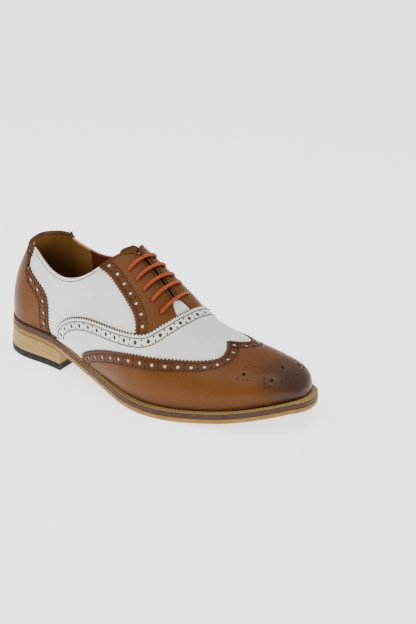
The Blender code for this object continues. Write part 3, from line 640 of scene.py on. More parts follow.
def within(points, loop):
    """True for the pattern points inside a closed loop."""
    points = np.asarray(points, float)
    loop = np.asarray(loop, float)
    a, b = loop, np.roll(loop, -1, axis=0)
    rise = np.where(np.abs(b[:, 1] - a[:, 1]) < 1e-15, 1e-15, b[:, 1] - a[:, 1])

    def inside(part):
        x, y = points[part, 0, None], points[part, 1, None]
        crosses = (a[None, :, 1] > y) != (b[None, :, 1] > y)
        at = (b[:, 0] - a[:, 0])[None] * (y - a[None, :, 1]) / rise[None] + a[None, :, 0]
        return (crosses & (x < at)).sum(1) % 2 == 1

    return in_slices(len(points), inside)


def distance(points, line):
    """Distance from pattern points to an open polyline."""
    points = np.asarray(points, float)
    line = np.asarray(line, float)
    a, span = line[:-1], np.diff(line, axis=0)
    size = np.maximum((span**2).sum(1), 1e-18)

    def gaps(part):
        gap = points[part, None] - a[None]
        t = np.clip((gap * span[None]).sum(2) / size, 0, 1)
        return np.sqrt(((gap - t[:, :, None] * span[None])**2).sum(2).min(1))

    return in_slices(len(points), gaps)


def smooth(t):
    t = np.clip(t, 0, 1)
    return t * t * (3 - 2 * t)


def circles(centres, radii, sides):
    """True circles round pattern points, as closed loops."""
    centres = np.asarray(centres, float)
    g = metric(centres)
    values, vectors = np.linalg.eigh(g)
    root = np.einsum("nij,nj,nkj->nik", vectors, 1 / np.sqrt(values), vectors)
    angle = np.arange(sides) * 2 * math.pi / sides
    ring = np.stack([np.cos(angle), np.sin(angle)], -1)
    loops = np.einsum("nij,mj->nmi", root, ring) * np.broadcast_to(radii, (len(centres),))[:, None, None]
    return centres[:, None] + loops


class Holes:
    """Punched round holes: pattern centres and true radii."""

    def __init__(self, centres, radii):
        self.centres = np.asarray(centres, float).reshape(-1, 2)
        self.radii = np.broadcast_to(radii, (len(self.centres),)).astype(float)

    def join(self, other):
        return Holes(np.concatenate([self.centres, other.centres]), np.concatenate([self.radii, other.radii]))


NO_HOLES = Holes(np.zeros((0, 2)), np.zeros(0))


def anticlockwise(loop):
    loop = np.asarray(loop, float)
    after = np.roll(loop, -1, axis=0)
    area = 0.5 * (loop[:, 0] * after[:, 1] - loop[:, 1] * after[:, 0]).sum()
    return loop[::-1] if area < 0 else loop


def beside(loop, amount):
    """Closed loop moved to its left by a true distance."""
    return offset(np.concatenate([loop[-1:], loop, loop[:1]]), amount)[1:-1]


def mesh_object(name, points, faces, materials, sharp=35, pick=None):
    mesh = bpy.data.meshes.new(name)
    mesh.from_pydata([tuple(point) for point in points], [], [tuple(int(k) for k in face) for face in faces])
    mesh.shade_smooth()
    mesh.set_sharp_from_angle(angle=math.radians(sharp))
    for material in materials:
        mesh.materials.append(material)
    if pick is not None:
        mesh.polygons.foreach_set("material_index", np.asarray(pick, np.int32))
    piece = bpy.data.objects.new(name, mesh)
    bpy.context.collection.objects.link(piece)
    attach(piece, "root")
    return piece


def attribute(piece, name, values):
    made = piece.data.attributes.new(name, "FLOAT", "POINT")
    made.data.foreach_set("value", np.asarray(values, np.float32))


def grid_over(outer, pitch):
    """Staggered grid of pattern points over the extent of a loop."""
    lowest, highest = outer.min(0), outer.max(0)
    grid = []
    for n, column in enumerate(np.arange(lowest[0], highest[0], pitch)):
        rows = np.arange(lowest[1] + 0.5 * pitch * (n % 2), highest[1], pitch)
        grid.append(np.stack([np.full(len(rows), column), rows], -1))
    return np.concatenate(grid)


def spread(outer, openings, holes, guides, pitch, round_off):
    """Points of a panel, and the edges its net has to keep: rims, rings beside them, troughs and a grid."""
    loops = [outer] + openings
    rings = [beside(outer, round_off)] + [beside(opening, -round_off) for opening in openings]
    for small, sides in ((False, BIG_SIDES), (True, SMALL_SIDES)):
        keep = (holes.radii < SMALL_LIMIT) == small
        if keep.any():
            loops += list(circles(holes.centres[keep], holes.radii[keep], sides))
            rings += list(circles(holes.centres[keep], holes.radii[keep] + LIP, sides))
    edges, start = [], 0
    for loop in loops + rings:
        count = len(loop)
        edges += [(start + k, start + (k + 1) % count) for k in range(count)]
        start += count
    fixed = np.concatenate(loops + rings)
    grid = grid_over(outer, pitch)
    grid = grid[within(grid, outer)]
    troughs = [offset(spaced(line, max(1.2 * MM, 1.4 * width)), step * width)
               for line, depth, width in guides for step in TROUGH_STEPS]
    extra = np.concatenate(troughs) if troughs else np.zeros((0, 2))
    for opening in openings:
        grid = grid[~within(grid, opening)]
        extra = extra[~within(extra, opening)]
    extra = extra[within(extra, outer)]
    extra = extra[nearest(extra, fixed) > 0.35 * MM]
    grid = grid[nearest(grid, extra) > 0.55 * pitch]
    grid = grid[nearest(grid, fixed) > 0.40 * pitch]
    if len(holes.centres):
        extra = extra[clear_of(extra, holes)]
        grid = grid[clear_of(grid, holes)]
    return np.concatenate([fixed, extra, grid]), edges


def net(outer, openings, holes, spots, edges):
    """Triangles between pattern points where the leather is, all turned anticlockwise."""
    made = delaunay_2d_cdt([Vector(spot) for spot in spots], edges, [], 0, 1e-8)
    flat = np.array([tuple(vertex) for vertex in made[0]])
    faces = np.array([face for face in made[2] if len(face) == 3])
    centre = flat[faces].mean(1)
    keep = within(centre, outer)
    for opening in openings:
        keep &= ~within(centre, opening)
    if len(holes.centres):
        keep &= clear_of(centre, holes, 0.95)
    faces = faces[keep]
    corners = flat[faces]
    first, second = corners[:, 1] - corners[:, 0], corners[:, 2] - corners[:, 0]
    turned = first[:, 0] * second[:, 1] - first[:, 1] * second[:, 0] < 0
    faces[turned] = faces[turned][:, ::-1]
    used = np.unique(faces)
    renumber = np.full(len(flat), -1)
    renumber[used] = np.arange(len(used))
    return flat[used], renumber[faces]


def rim_edges(faces):
    """Edges of a net that belong to one triangle alone."""
    pairs = {}
    for a, b, c in faces:
        pairs[(a, b)] = pairs[(b, c)] = pairs[(c, a)] = True
    return np.array([edge for edge in pairs if (edge[1], edge[0]) not in pairs])


def lifts(level, flat):
    """Lift of pattern points, from a number or a function."""
    return level(flat) if callable(level) else np.full(len(flat), level)


def panel(name, outer, holes, guides, low, high, material, pitch=2.2 * MM, roll=0.25 * MM, inner=False,
          round_off=0.45 * MM, openings=()):
    """Leather panel over a pattern region, its rims rolled over; low and high give lifts from the last.

    guides are (line, depth, width): soft troughs along stitch rows and creases. An inner panel shows
    its lower face.
    """
    outer = anticlockwise(outer)
    openings = [anticlockwise(opening) for opening in openings]
    spots, edges = spread(outer, openings, holes, guides, pitch, round_off)
    flat, faces = net(outer, openings, holes, spots, edges)
    count = len(flat)
    rim = rim_edges(faces)
    on_rim = np.zeros(count, bool)
    on_rim[rim.ravel()] = True
    top, base = lifts(high, flat), lifts(low, flat)
    for line, depth, width in guides:
        top = top - depth * np.exp(-(distance(flat, line) / width) ** 2)
    if inner:
        base = base + roll * on_rim
    else:
        top = top - roll * on_rim
    rim_ids = np.where(on_rim)[0]
    rim_index = np.full(count, -1)
    rim_index[rim_ids] = count + np.arange(len(rim_ids))
    face_points = place(flat, base if inner else top)
    rim_points = place(flat[rim_ids], top[rim_ids] if inner else base[rim_ids])
    walls = np.stack([rim[:, 1], rim[:, 0], rim_index[rim[:, 0]], rim_index[rim[:, 1]]], -1)
    made_faces = [tuple(face) for face in faces] + [tuple(wall) for wall in walls]
    if inner:
        made_faces = [face[::-1] for face in made_faces]
    piece = mesh_object(name, np.concatenate([face_points, rim_points]), made_faces, [material])
    every = np.concatenate([flat, flat[rim_ids]])
    near_edge = distance(every, np.concatenate([outer, outer[:1]]))

    def to_holes(part):
        gap = np.linalg.norm(every[part, None] - holes.centres[None], axis=2) - holes.radii[None]
        return np.maximum(gap.min(1), 0)

    if len(holes.centres):
        near_edge = np.minimum(near_edge, in_slices(len(every), to_holes))
    attribute(piece, "edge", near_edge * 1000)
    attribute(piece, "p", every[:, 0])
    attribute(piece, "q", every[:, 1])
    return piece


def hole_shade_discs(name, holes, lift, level):
    """Dark discs at the bottoms of the small holes, painted shade inside them; lift is the panel's upper
    face, level the depth below it.
    """
    small = holes.radii < SMALL_LIMIT
    loops = circles(holes.centres[small], holes.radii[small] + 0.05 * MM, SMALL_SIDES)
    flat = loops.reshape(-1, 2)
    height = lifts(lift, flat) - level
    faces = np.arange(len(flat)).reshape(-1, SMALL_SIDES)
    return mesh_object(name, place(flat, height), faces, [THREAD])


def nearest(points, others):
    """Distance from each point to the nearest of the others."""
    if not len(others):
        return np.full(len(points), 1.0)

    def gaps(part):
        return np.sqrt(((points[part, None] - others[None])**2).sum(2).min(1))

    return in_slices(len(points), gaps)


def clear_of(points, holes, share=None):
    """True for the points outside the holes."""
    g = metric(holes.centres)
    limit = holes.radii * share if share else holes.radii + 0.65 * MM

    def clear(part):
        gap = points[part, None] - holes.centres[None]
        size = np.einsum("nmi,mij,nmj->nm", gap, g, gap)
        return (size > limit[None] ** 2).all(1)

    return in_slices(len(points), clear)


def sweep(count, rows):
    """Quads between closed rings of points."""
    faces = []
    for row in range(rows - 1):
        for k in range(count):
            low, after = row * count, (k + 1) % count
            faces.append((low + k, low + after, low + count + after, low + count + k))
    return faces


def sew(name, starts, middles, ends, ups, material, radius):
    """Thread stitches from point to point through a raised middle."""
    around, rings = 6, 4
    t = np.linspace(0, 1, rings + 1)[None, :, None]
    a, m, b, up = (part[:, None] for part in (starts, middles, ends, ups))
    centre = (1 - t) ** 2 * a + 2 * t * (1 - t) * (2 * m - 0.5 * (a + b)) + t * t * b
    side = np.cross(ends - starts, ups)
    side /= np.linalg.norm(side, axis=1)[:, None]
    size = radius * (0.55 + 0.45 * np.sin(math.pi * t))[..., None]
    angle = (2 * math.pi * np.arange(around) / around)[None, None, :, None]
    spokes = np.cos(angle) * side[:, None, None] + np.sin(angle) * up[:, :, None]
    points = centre[:, :, None] + size * spokes
    faces = []
    for k in range(len(starts)):
        first = k * (rings + 1) * around
        faces += [tuple(first + corner for corner in face) for face in sweep(around, rings + 1)]
        faces.append(tuple(first + n for n in range(around))[::-1])
        faces.append(tuple(first + rings * around + n for n in range(around)))
    return mesh_object(name, points.reshape(-1, 3), faces, [material], sharp=180)


def stitches(name, rows, material, pitch=2.7 * MM, length=2.2 * MM, radius=0.34 * MM):
    """Stitches along pattern lines; rows are (line, lift or lift function)."""
    parts = []
    for line, lift in rows:
        line = spaced(line, pitch)
        middle = 0.5 * (line[1:] + line[:-1])
        half = 0.5 * (line[1:] - line[:-1]) * (length / pitch)
        height = lifts(lift, middle)
        up = place(middle, height + MM) - place(middle, height)
        up /= np.linalg.norm(up, axis=1)[:, None]
        parts.append((place(middle - half, height - 0.05 * MM), place(middle, height + 0.45 * radius),
                      place(middle + half, height - 0.05 * MM), up))
    return sew(name, *(np.concatenate(group) for group in zip(*parts)), material, radius)


def tube(name, path, radius, sides, material):
    path = np.asarray(path, float)
    tangent = np.gradient(path, axis=0)
    tangent /= np.linalg.norm(tangent, axis=1)[:, None]
    normal = np.cross(tangent[0], (0.3, 0.2, 1.0))
    normal /= np.linalg.norm(normal)
    points = []
    for k, centre in enumerate(path):
        normal = normal - tangent[k] * (normal @ tangent[k])
        normal /= np.linalg.norm(normal)
        other = np.cross(tangent[k], normal)
        for spoke in range(sides):
            angle = 2 * math.pi * spoke / sides
            points.append(centre + radius * (math.cos(angle) * normal + math.sin(angle) * other))
    faces = sweep(sides, len(path))
    faces.append(tuple(range(sides))[::-1])
    faces.append(tuple((len(path) - 1) * sides + spoke for spoke in range(sides)))
    return mesh_object(name, points, faces, [material], sharp=60)


# Materials

def new_material(name):
    material = bpy.data.materials.new(name)
    material.use_nodes = True
    tree = material.node_tree
    return material, tree, tree.nodes["Principled BSDF"]


def new_node(tree, kind, **inputs):
    """Node with its inputs set; an underscore in a name stands for a space."""
    made = tree.nodes.new(kind)
    for name, value in inputs.items():
        slot = made.inputs[name.replace("_", " ")]
        if isinstance(value, (int, float)):
            slot.default_value = value
        else:
            tree.links.new(value, slot)
    return made


def noise(tree, scale, detail, rough, vector):
    made = new_node(tree, "ShaderNodeTexNoise", Scale=scale, Detail=detail, Roughness=rough, Vector=vector)
    return made.outputs["Fac"]


def mix(tree, factor, first, second):
    made = tree.nodes.new("ShaderNodeMix")
    made.data_type = "RGBA"
    for socket, value in (("Factor", factor), ("A", first), ("B", second)):
        slot = [entry for entry in made.inputs if entry.name == socket and
                (entry.type == "RGBA" if socket != "Factor" else entry.type == "VALUE")][0]
        if isinstance(value, (tuple, list)):
            slot.default_value = (*value, 1.0)
        elif isinstance(value, (int, float)):
            slot.default_value = value
        else:
            tree.links.new(value, slot)
    return [entry for entry in made.outputs if entry.type == "RGBA"][0]


def ramp(tree, value, low, high, out_low=0.0, out_high=1.0):
    made = new_node(tree, "ShaderNodeMapRange", Value=value, From_Min=low, From_Max=high, To_Min=out_low,
                    To_Max=out_high)
    made.interpolation_type = "SMOOTHSTEP"
    return made.outputs["Result"]


def maths(tree, operation, first, second):
    made = tree.nodes.new("ShaderNodeMath")
    made.operation = operation
    for slot, value in zip(made.inputs, (first, second)):
        if isinstance(value, (int, float)):
            slot.default_value = value
        else:
            tree.links.new(value, slot)
    return made.outputs["Value"]


def read(tree, name):
    made = tree.nodes.new("ShaderNodeAttribute")
    made.attribute_name = name
    return made.outputs["Fac"]


def bump(tree, shader, height, strength, size):
    made = new_node(tree, "ShaderNodeBump", Strength=strength, Distance=size, Height=height)
    tree.links.new(made.outputs["Normal"], shader.inputs["Normal"])


def leather(name, colour, deep, edge_colour, rough, coat, gloss=0.12, front=None):
    material, tree, shader = new_material(name)
    spot = tree.nodes.new("ShaderNodeTexCoord").outputs["Object"]
    cloud = noise(tree, 38.0, 4.0, 0.6, spot)
    fine = noise(tree, 900.0, 4.0, 0.7, spot)
    base = mix(tree, ramp(tree, cloud, 0.35, 0.70), colour, tuple(0.88 * c for c in colour))
    if front:
        base = mix(tree, read(tree, "front"), base, front)
    base = mix(tree, ramp(tree, fine, 0.45, 0.75, 0.0, 0.25), base, deep)
    # Darkens towards the deep colour where the darkening attribute is set: real burnish on the toe, back tab,
    # heel welt and along seams, and painted shade low on the wing and counter and deep inside the lining.
    base = mix(tree, read(tree, "burnish_and_shade"), base, deep)
    base = mix(tree, ramp(tree, read(tree, "edge"), 0.0, 0.40, 0.95, 0.0), base, edge_colour)
    tree.links.new(base, shader.inputs["Base Color"])
    rough_value = ramp(tree, cloud, 0.3, 0.7, rough - 0.05, rough + 0.06)
    tree.links.new(rough_value, shader.inputs["Roughness"])
    tree.links.new(ramp(tree, read(tree, "burnish_and_shade"), 0.25, 0.8, coat, coat + 0.30), shader.inputs["Coat Weight"])
    shader.inputs["Coat Roughness"].default_value = 0.25
    shader.inputs["Specular IOR Level"].default_value = gloss
    cells = new_node(tree, "ShaderNodeTexVoronoi", Scale=1100.0, Vector=spot)
    grain = maths(tree, "ADD", cells.outputs["Distance"], maths(tree, "MULTIPLY", fine, 0.8))
    bump(tree, shader, grain, 0.22, 0.00025)
    return material


def plain(name, colour, second, scale, rough, bump_scale=600.0, bump_size=0.0002, stretch=None):
    material, tree, shader = new_material(name)
    spot = tree.nodes.new("ShaderNodeTexCoord").outputs["Object"]
    if stretch:
        scaled = tree.nodes.new("ShaderNodeVectorMath")
        scaled.operation = "MULTIPLY"
        scaled.inputs[1].default_value = stretch
        tree.links.new(spot, scaled.inputs[0])
        spot = scaled.outputs["Vector"]
    base = mix(tree, ramp(tree, noise(tree, scale, 4.0, 0.6, spot), 0.35, 0.7), colour, second)
    tree.links.new(base, shader.inputs["Base Color"])
    shader.inputs["Roughness"].default_value = rough
    shader.inputs["Specular IOR Level"].default_value = 0.15
    bump(tree, shader, noise(tree, bump_scale, 3.0, 0.6, spot), 0.4, bump_size)
    return material


WHITE = leather("white_leather_scene", (0.80, 0.80, 0.745), (0.66, 0.63, 0.57), (0.085, 0.050, 0.025), 0.42,
                0.03, 0.3)
# Its deep colour paints the real burnish and also the painted shade low on the sides.
TAN = leather("tan_leather_scene", (0.132, 0.0440, 0.0079), (0.020, 0.0055, 0.0045), (0.018, 0.006, 0.003),
              0.40, 0.03)
BAND = leather("tan_band_scene", (0.085, 0.045, 0.018), (0.06, 0.03, 0.012), (0.15, 0.10, 0.04), 0.5, 0.0)
# Its deep colour is also the painted shade deep inside the shoe.
LINING = leather("lining_scene", (0.44, 0.225, 0.062), (0.060, 0.022, 0.008), (0.30, 0.15, 0.04), 0.55, 0.0,
                 front=(0.160, 0.034, 0.020))
THREAD = plain("dark_thread_scene", (0.030, 0.013, 0.009), (0.055, 0.022, 0.012), 800.0, 0.6)
WELT_THREAD = plain("welt_thread_scene", (0.44, 0.32, 0.15), (0.36, 0.25, 0.11), 800.0, 0.6)
WELT = leather("welt_scene", (0.29, 0.185, 0.062), (0.040, 0.016, 0.010), (0.2, 0.1, 0.03), 0.5, 0.0)
MIDSOLE = plain("midsole_scene", (0.050, 0.022, 0.014), (0.070, 0.033, 0.020), 160.0, 0.5)
OUTSOLE = plain("outsole_scene", (0.27, 0.155, 0.050), (0.21, 0.115, 0.034), 120.0, 0.5)
STACK = plain("stack_scene", (0.36, 0.245, 0.078), (0.28, 0.180, 0.052), 60.0, 0.5, stretch=(1, 1, 7))
RUBBER = plain("rubber_scene", (0.012, 0.012, 0.013), (0.03, 0.03, 0.03), 200.0, 0.6)
CORD = plain("lace_scene", (0.36, 0.070, 0.012), (0.25, 0.042, 0.008), 500.0, 0.45, 1500.0, 0.0003)


# Seam lines

def across(rows):
    """Seam from the lateral waist over the ridge to the medial waist."""
    lateral, medial = seam(rows, -1), seam(rows, 1)
    return np.concatenate([lateral, medial[::-1][1:]])


HEEL_S = HEEL_CENTRE / LAST_LENGTH
VAMP_EDGE = spaced(across(VAMP_LINE), 1.0 * MM)
WING_EDGE = spaced(across(WING_LINE), 1.0 * MM)


def vamp_high(flat):
    return (2.25 - 0.95 * smooth(distance(flat, VAMP_EDGE) / 0.022)) * MM


def wing_high(flat):
    return (2.35 - 1.10 * smooth((distance(flat, WING_EDGE) - 0.012) / 0.020)) * MM


def strip(edge, turn, big=BIG_HOLE, small=SMALL_HOLE, ends=4.0 * MM):
    """Big holes along an edge with small pairs between; turn is 1 if the panel lies left of the edge."""
    row = offset(edge, turn * HOLE_ROW)
    lengths = true_lengths(row)
    count = int((lengths[-1] - 2 * ends) / HOLE_PITCH)
    start = 0.5 * (lengths[-1] - count * HOLE_PITCH)
    at = start + HOLE_PITCH * np.arange(count + 1)
    big_at = np.stack([np.interp(at, lengths, row[:, k]) for k in (0, 1)], -1)
    between_at = at[:-1] + 0.5 * HOLE_PITCH
    pairs = []
    for shift in (-PAIR_SPREAD, PAIR_SPREAD):
        other = offset(row, shift)
        pairs.append(np.stack([np.interp(between_at, lengths, other[:, k]) for k in (0, 1)], -1))
    pairs = np.concatenate(pairs)
    return Holes(big_at, big).join(Holes(pairs, small))


def row_line(edge, turn, away):
    """Stitch row beside an edge."""
    return spaced(offset(edge, turn * away), 1.0 * MM)


def raised(high):
    """Where stitches lie on a face with the given lift function."""
    return lambda flat: high(flat) + 0.02 * MM


def overlay(name, node_name, outer, holes, lines, depth, low, high, material):
    """Punched panel with troughs along its stitch rows, and dark discs in its small holes as painted shade.
    """
    guides = [(line, depth, GROOVE) for line in lines]
    piece = panel(f"{name}_leather", outer, holes, guides, low, high, material)
    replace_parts(piece, node_name)
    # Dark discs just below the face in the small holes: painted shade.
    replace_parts(hole_shade_discs(f"{name}_painted_hole_shade", holes, high, HOLE_SHADE_DEPTH), node_name)
    return piece


rows_dark, rows_white = [], []

# White quarters, from the collar down to the welt and forward under the vamp
waist = [feather_path(WAIST_STATION, HEEL_S, -1), np.array(heel_fan(90)),
         feather_path(HEEL_S, WAIST_STATION, 1)]
toe_l, toe_m = toe_line(-1, 60), toe_line(1, 60)
sole_line = np.concatenate([toe_l[::-1], waist[0][1:], waist[1], waist[2], toe_m[1:-1]])


def slit_centre(p):
    """Drift of the throat slit off the ridge."""
    rows = np.array(SLIT_DRIFT)
    return np.interp(p, np.interp(rows[:, 0] * LAST_LENGTH, RIDGE_X, RIDGE_LENGTH), rows[:, 1]) * MM


def mouth(gap_half):
    """Collar, facing tops and throat slit as one closed loop."""
    sides = []
    for side in (-1, 1):
        stations = np.linspace(HEEL_S, COLLAR[-1][0], 60)
        line = [collar_point(s, side) for s in stations]
        line += list(seam(FACING_TOP, side, 40))[1:]
        sides.append(np.array(line))
    first = flat_point(FACING_TOP[-1][0], 0.0, -1)[0] + 0.001
    last = flat_point(THROAT_END, 0.0, -1)[0]
    slit = np.linspace(first, last, 60)
    back = np.array(heel_fan(80, collar_height))
    round_end = [(last + gap_half * math.cos(t), slit_centre(last) - gap_half * math.sin(t))
                 for t in np.linspace(1.4, -1.4, 7)]
    middle = slit_centre(slit)
    return np.concatenate([
        sides[0],
        np.stack([slit, middle - gap_half], -1),
        np.array(round_end),
        np.stack([slit[::-1], (middle + gap_half)[::-1]], -1),
        sides[1][::-1],
        back[::-1],
    ])


MOUTH = mouth(0.5 * THROAT_GAP)
MOUTH = MOUTH[np.concatenate([[True], np.linalg.norm(np.diff(MOUTH, axis=0), axis=1) > 1e-5])]
quarters = panel("quarters", sole_line, NO_HOLES, [], -QUARTER_WALL, 0.0, WHITE, openings=[MOUTH])
front_seam = np.stack([np.full(200, FRONT_LINING), np.linspace(-0.11, 0.11, 200)], -1)
lining = panel("lining_leather", sole_line, NO_HOLES, [(front_seam, 0.0, 0.3 * MM)], -2 * QUARTER_WALL,
               -QUARTER_WALL, LINING, pitch=3.0 * MM, inner=True, openings=[MOUTH])
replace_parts(quarters, "upper")
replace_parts(lining, "upper")

LACE_ENDS = [[(flat_point(row[k], 0.0, -1)[0], row[k + 1] * MM) for k in (0, 2)] for row in LACES]
EYELETS = Holes([end for pair in LACE_ENDS for end in pair], EYELET)


# Overlays

def nearest_index(line, point):
    return int(np.argmin(np.hypot(line[:, 0] - point[0], line[:, 1] - point[1])))


def extend(line, amount):
    """Line carried on past its last point."""
    line = np.asarray(line, float)
    step = line[-1] - line[-4]
    step /= np.linalg.norm(step)
    return np.concatenate([line, (line[-1] + step * np.linspace(0.2, 1, 5)[:, None] * amount)])


def bend(before, corner, after):
    """Rounded corner between two pattern points."""
    t = np.linspace(0, 1, 9)[:, None]
    return (1 - t) ** 2 * before + 2 * t * (1 - t) * corner + t**2 * after


def facing(side):
    rear = spaced(extend(seam(FACING_REAR, side), 8 * MM), 1.0 * MM)
    teeth = gimped(rear, TOOTH, side * TOOTH_DEPTH)
    notch_p = np.interp(np.array(NOTCH)[:, 0] * LAST_LENGTH, RIDGE_X, RIDGE_LENGTH)
    fine_p = notch_p[0] + (notch_p[-1] + 0.004 - notch_p[0]) * np.linspace(0, 1, 40) ** 2
    notch_half = np.interp(fine_p, notch_p, np.array(NOTCH)[:, 1]) * MM
    notch = np.stack([fine_p, slit_centre(fine_p) + side * notch_half], -1)
    half = len(VAMP_EDGE) // 2
    low = offset(VAMP_EDGE, -6.5 * MM)
    low = low[:half + 1] if side < 0 else low[half:][::-1]
    first, last = nearest_index(low, teeth[-1]), nearest_index(low, notch[-1])
    seam_line = low[first + 1:last]
    top = offset(seam(FACING_TOP, side, 40), side * -0.3 * MM)
    start = flat_point(FACING_TOP[-1][0], 0.0, side)[0] + 0.0045
    slit_p = np.linspace(start, notch_p[0] - 0.0004, 40)
    gap = np.interp(slit_p, [notch_p[0] - 0.004, notch_p[0] - 0.001],
                    [0.5 * THROAT_GAP - 0.3 * MM, 0.15 * MM])
    slit = np.stack([slit_p, slit_centre(slit_p) + side * gap], -1)
    top = top[(top[:, 1] - slit[0, 1]) * side > 4.5 * MM]
    corner = bend(slit[0], np.array([top[-1, 0] + 0.0012, slit[0, 1]]), top[-1])
    outer = np.concatenate([teeth, seam_line, notch[::-1], slit[::-1], corner[1:-1], top[::-1][:-1]])
    holes = strip(rear, -side, ends=6 * MM).join(EYELETS)
    keep = within(holes.centres, outer)
    holes = Holes(holes.centres[keep], holes.radii[keep])
    edge_row, inner_row = row_line(rear, -side, EDGE_ROW), row_line(rear, -side, INNER_ROW)
    border = np.concatenate([slit[::-1][2:], corner[1:-1], top[::-1]])
    inside = [offset(border, -side * away * MM) for away in (2.0, 3.6)]
    lines = [edge_row, inner_row, inside[0], inside[1][:34]]
    name = "facing_lateral" if side < 0 else "facing_medial"
    piece = overlay(name, name, outer, holes, lines[:3], 0.18 * MM, -1.0 * MM, 1.15 * MM, TAN)
    rows_dark.extend((line[within(line, outer)], 1.17 * MM) for line in lines)
    return piece, rear


def wing():
    teeth = gimped(WING_EDGE, TOOTH, TOOTH_DEPTH)
    start = WING_LINE[0][0]
    back_m = feather_path(BALL_STATION, start, 1, 60)[::-1]
    back_l = feather_path(BALL_STATION, start, -1, 60)
    outer = np.concatenate([teeth, back_m[1:], toe_m[1:], toe_l[::-1][1:], back_l[1:-1]])
    holes = strip(WING_EDGE, -1).join(medallion())
    lines = [row_line(WING_EDGE, -1, away) for away in (EDGE_ROW, INNER_ROW)]
    rows_dark.extend((line, raised(wing_high)) for line in lines)
    return overlay("wing", "wing_cap", outer, holes, lines, SEAM_DEPTH,
                   lambda flat: wing_high(flat) - 1.1 * MM, wing_high, TAN)


# mm back from the toe along the ridge, mm off the ridge, radius in mm
MEDALLION = [
    (48.9, 26.4, 1.3), (27.8, 18.2, 1.3), (30.8, 0.0, 1.3), (33.7, 20.3, .6), (31.6, 23.5, .6),
    (29.8, 26.9, .6), (26.8, 23.2, .6), (23.8, 18.5, .6), (21.2, 13.2, .6), (19.1, 7.9, .6), (18.3, 2.6, .6),
    (50.6, 32.7, .55), (46.4, 31.6, .55), (43.5, 29.3, .55), (53.0, 7.6, .45), (46.9, 13.9, .45),
    (49.1, 1.1, .45), (39.8, 5.2, .45), (34.4, 10.2, .45), (41.5, 18.5, .45), (38.0, 13.5, .45),
    (52.0, 19.0, .45),
]


def medallion():
    centres = [(RIDGE_LENGTH[-1] - back * MM, side * away * MM)
               for back, away, _ in MEDALLION for side in ((-1, 1) if away else (1,))]
    radii = [radius * MM for _, away, radius in MEDALLION for side in ((-1, 1) if away else (1,))]
    return Holes(centres, radii)


def hole_shade_sheet():
    """Dark sheet right under the punched toe: painted shade seen through the toe holes."""
    toe = RIDGE_LENGTH[-1]
    side = np.array([(toe - back * MM, away * MM) for back, away in ((58, 38), (30, 33), (14, 17))])
    outer = np.concatenate([side * (1, -1), side[::-1]])
    piece = panel("toe_hole_shade_sheet", outer, NO_HOLES, [], 0.02 * MM, 0.12 * MM, THREAD, pitch=3 * MM,
                  roll=0.02 * MM)
    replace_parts(piece, "wing_cap")


def vamp():
    teeth = gimped(VAMP_EDGE, TOOTH, TOOTH_DEPTH)
    low = offset(WING_EDGE, -12 * MM)
    foot_l = feather_path(VAMP_LINE[0][0], 0.40, -1, 40)
    foot_m = feather_path(VAMP_LINE[0][0], 0.40, 1, 40)
    inner = low[within(low, sole_line)]
    outer = np.concatenate([teeth, foot_m[1:], inner[::-1], foot_l[::-1][:-1]])
    holes = strip(VAMP_EDGE, -1, VAMP_BIG_HOLE, VAMP_SMALL_HOLE)
    lines = [row_line(VAMP_EDGE, -1, away) for away in (EDGE_ROW, INNER_ROW)]
    overlay("vamp", "vamp", outer, holes, lines, SEAM_DEPTH,
            lambda flat: vamp_high(flat) - 1.0 * MM, vamp_high, WHITE)
    rows_white.extend((line, raised(vamp_high)) for line in lines)
    band_outer = np.concatenate([offset(teeth, 0.7 * MM), offset(VAMP_EDGE, -13 * MM)[::-1]])
    band = panel("vamp_underlay", band_outer, NO_HOLES, [], 0.1 * MM, 1.27 * MM, BAND)
    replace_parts(band, "vamp")


# lift and distance down from the collar, mm, round the section of a folded edge
BACK_TAB = [
    (1.2, 2.6), (1.55, 2.2), (1.6, 0.6), (1.2, -0.4), (0.2, -0.8), (-1.2, -0.85),
    (-2.2, -0.6), (-2.8, 0.0), (-2.75, 0.7), (-2.2, 0.6), (-1.1, 0.2), (0.6, 0.6),
]
COLLAR_FOLD = [
    (0.1, 3.2), (0.4, 1.6), (0.35, 0.3), (-0.05, -0.35),
    (-0.6, -0.5), (-1.0, -0.4), (-1.1, 0.4), (-0.2, 1.0),
]
LINING_FOLD = [
    (-1.0, -0.4), (-1.7, -0.45), (-2.3, -0.2), (-2.6, 0.4),
    (-2.6, 1.6), (-2.25, 3.0), (-2.0, 1.0), (-1.1, 0.4),
]


def collar_side(side, back_to):
    """Collar line on one side, from the top corner of the facing back to a station."""
    stations = np.linspace(COLLAR[-1][0], back_to, max(4, int((COLLAR[-1][0] - back_to) * LAST_LENGTH / MM)))
    return [flat_point(*FACING_TOP[0], side)] + [collar_point(s, side) for s in stations]


def collar_back(front):
    """Collar line round the back, between stations on the lateral and the medial side."""
    stations = np.linspace(front, HEEL_S, 6)
    sides = [[collar_point(s, side) for s in stations] for side in (-1, 1)]
    return spaced(np.array(sides[0] + heel_fan(80, collar_height) + sides[1][::-1]), 1.0 * MM)


def down(line, amount):
    """Pattern line moved down its ribs."""
    p = np.minimum(line[:, 0], 0)
    reach = np.hypot(p, line[:, 1])
    return line + np.stack([p, line[:, 1]], -1) / reach[:, None] * amount


def edging(name, line, section_rows, material, node_name):
    """Folded edge swept along a pattern line."""
    rows = [place(down(line, away * MM), lift * MM) for lift, away in section_rows]
    count, turns = len(line), len(rows)
    faces = [(r * count + k, r * count + k + 1, (r + 1) % turns * count + k + 1, (r + 1) % turns * count + k)
             for r in range(turns) for k in range(count - 1)]
    faces.append(tuple(r * count for r in range(turns)))
    faces.append(tuple(r * count + count - 1 for r in range(turns))[::-1])
    piece = mesh_object(name, np.concatenate(rows), [face[::-1] for face in faces], [material], sharp=60)
    attribute(piece, "edge", np.full(count * turns, 2.0))
    attribute(piece, "front", np.tile(line[:, 0] > FRONT_LINING, turns))
    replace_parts(piece, node_name)
    return piece


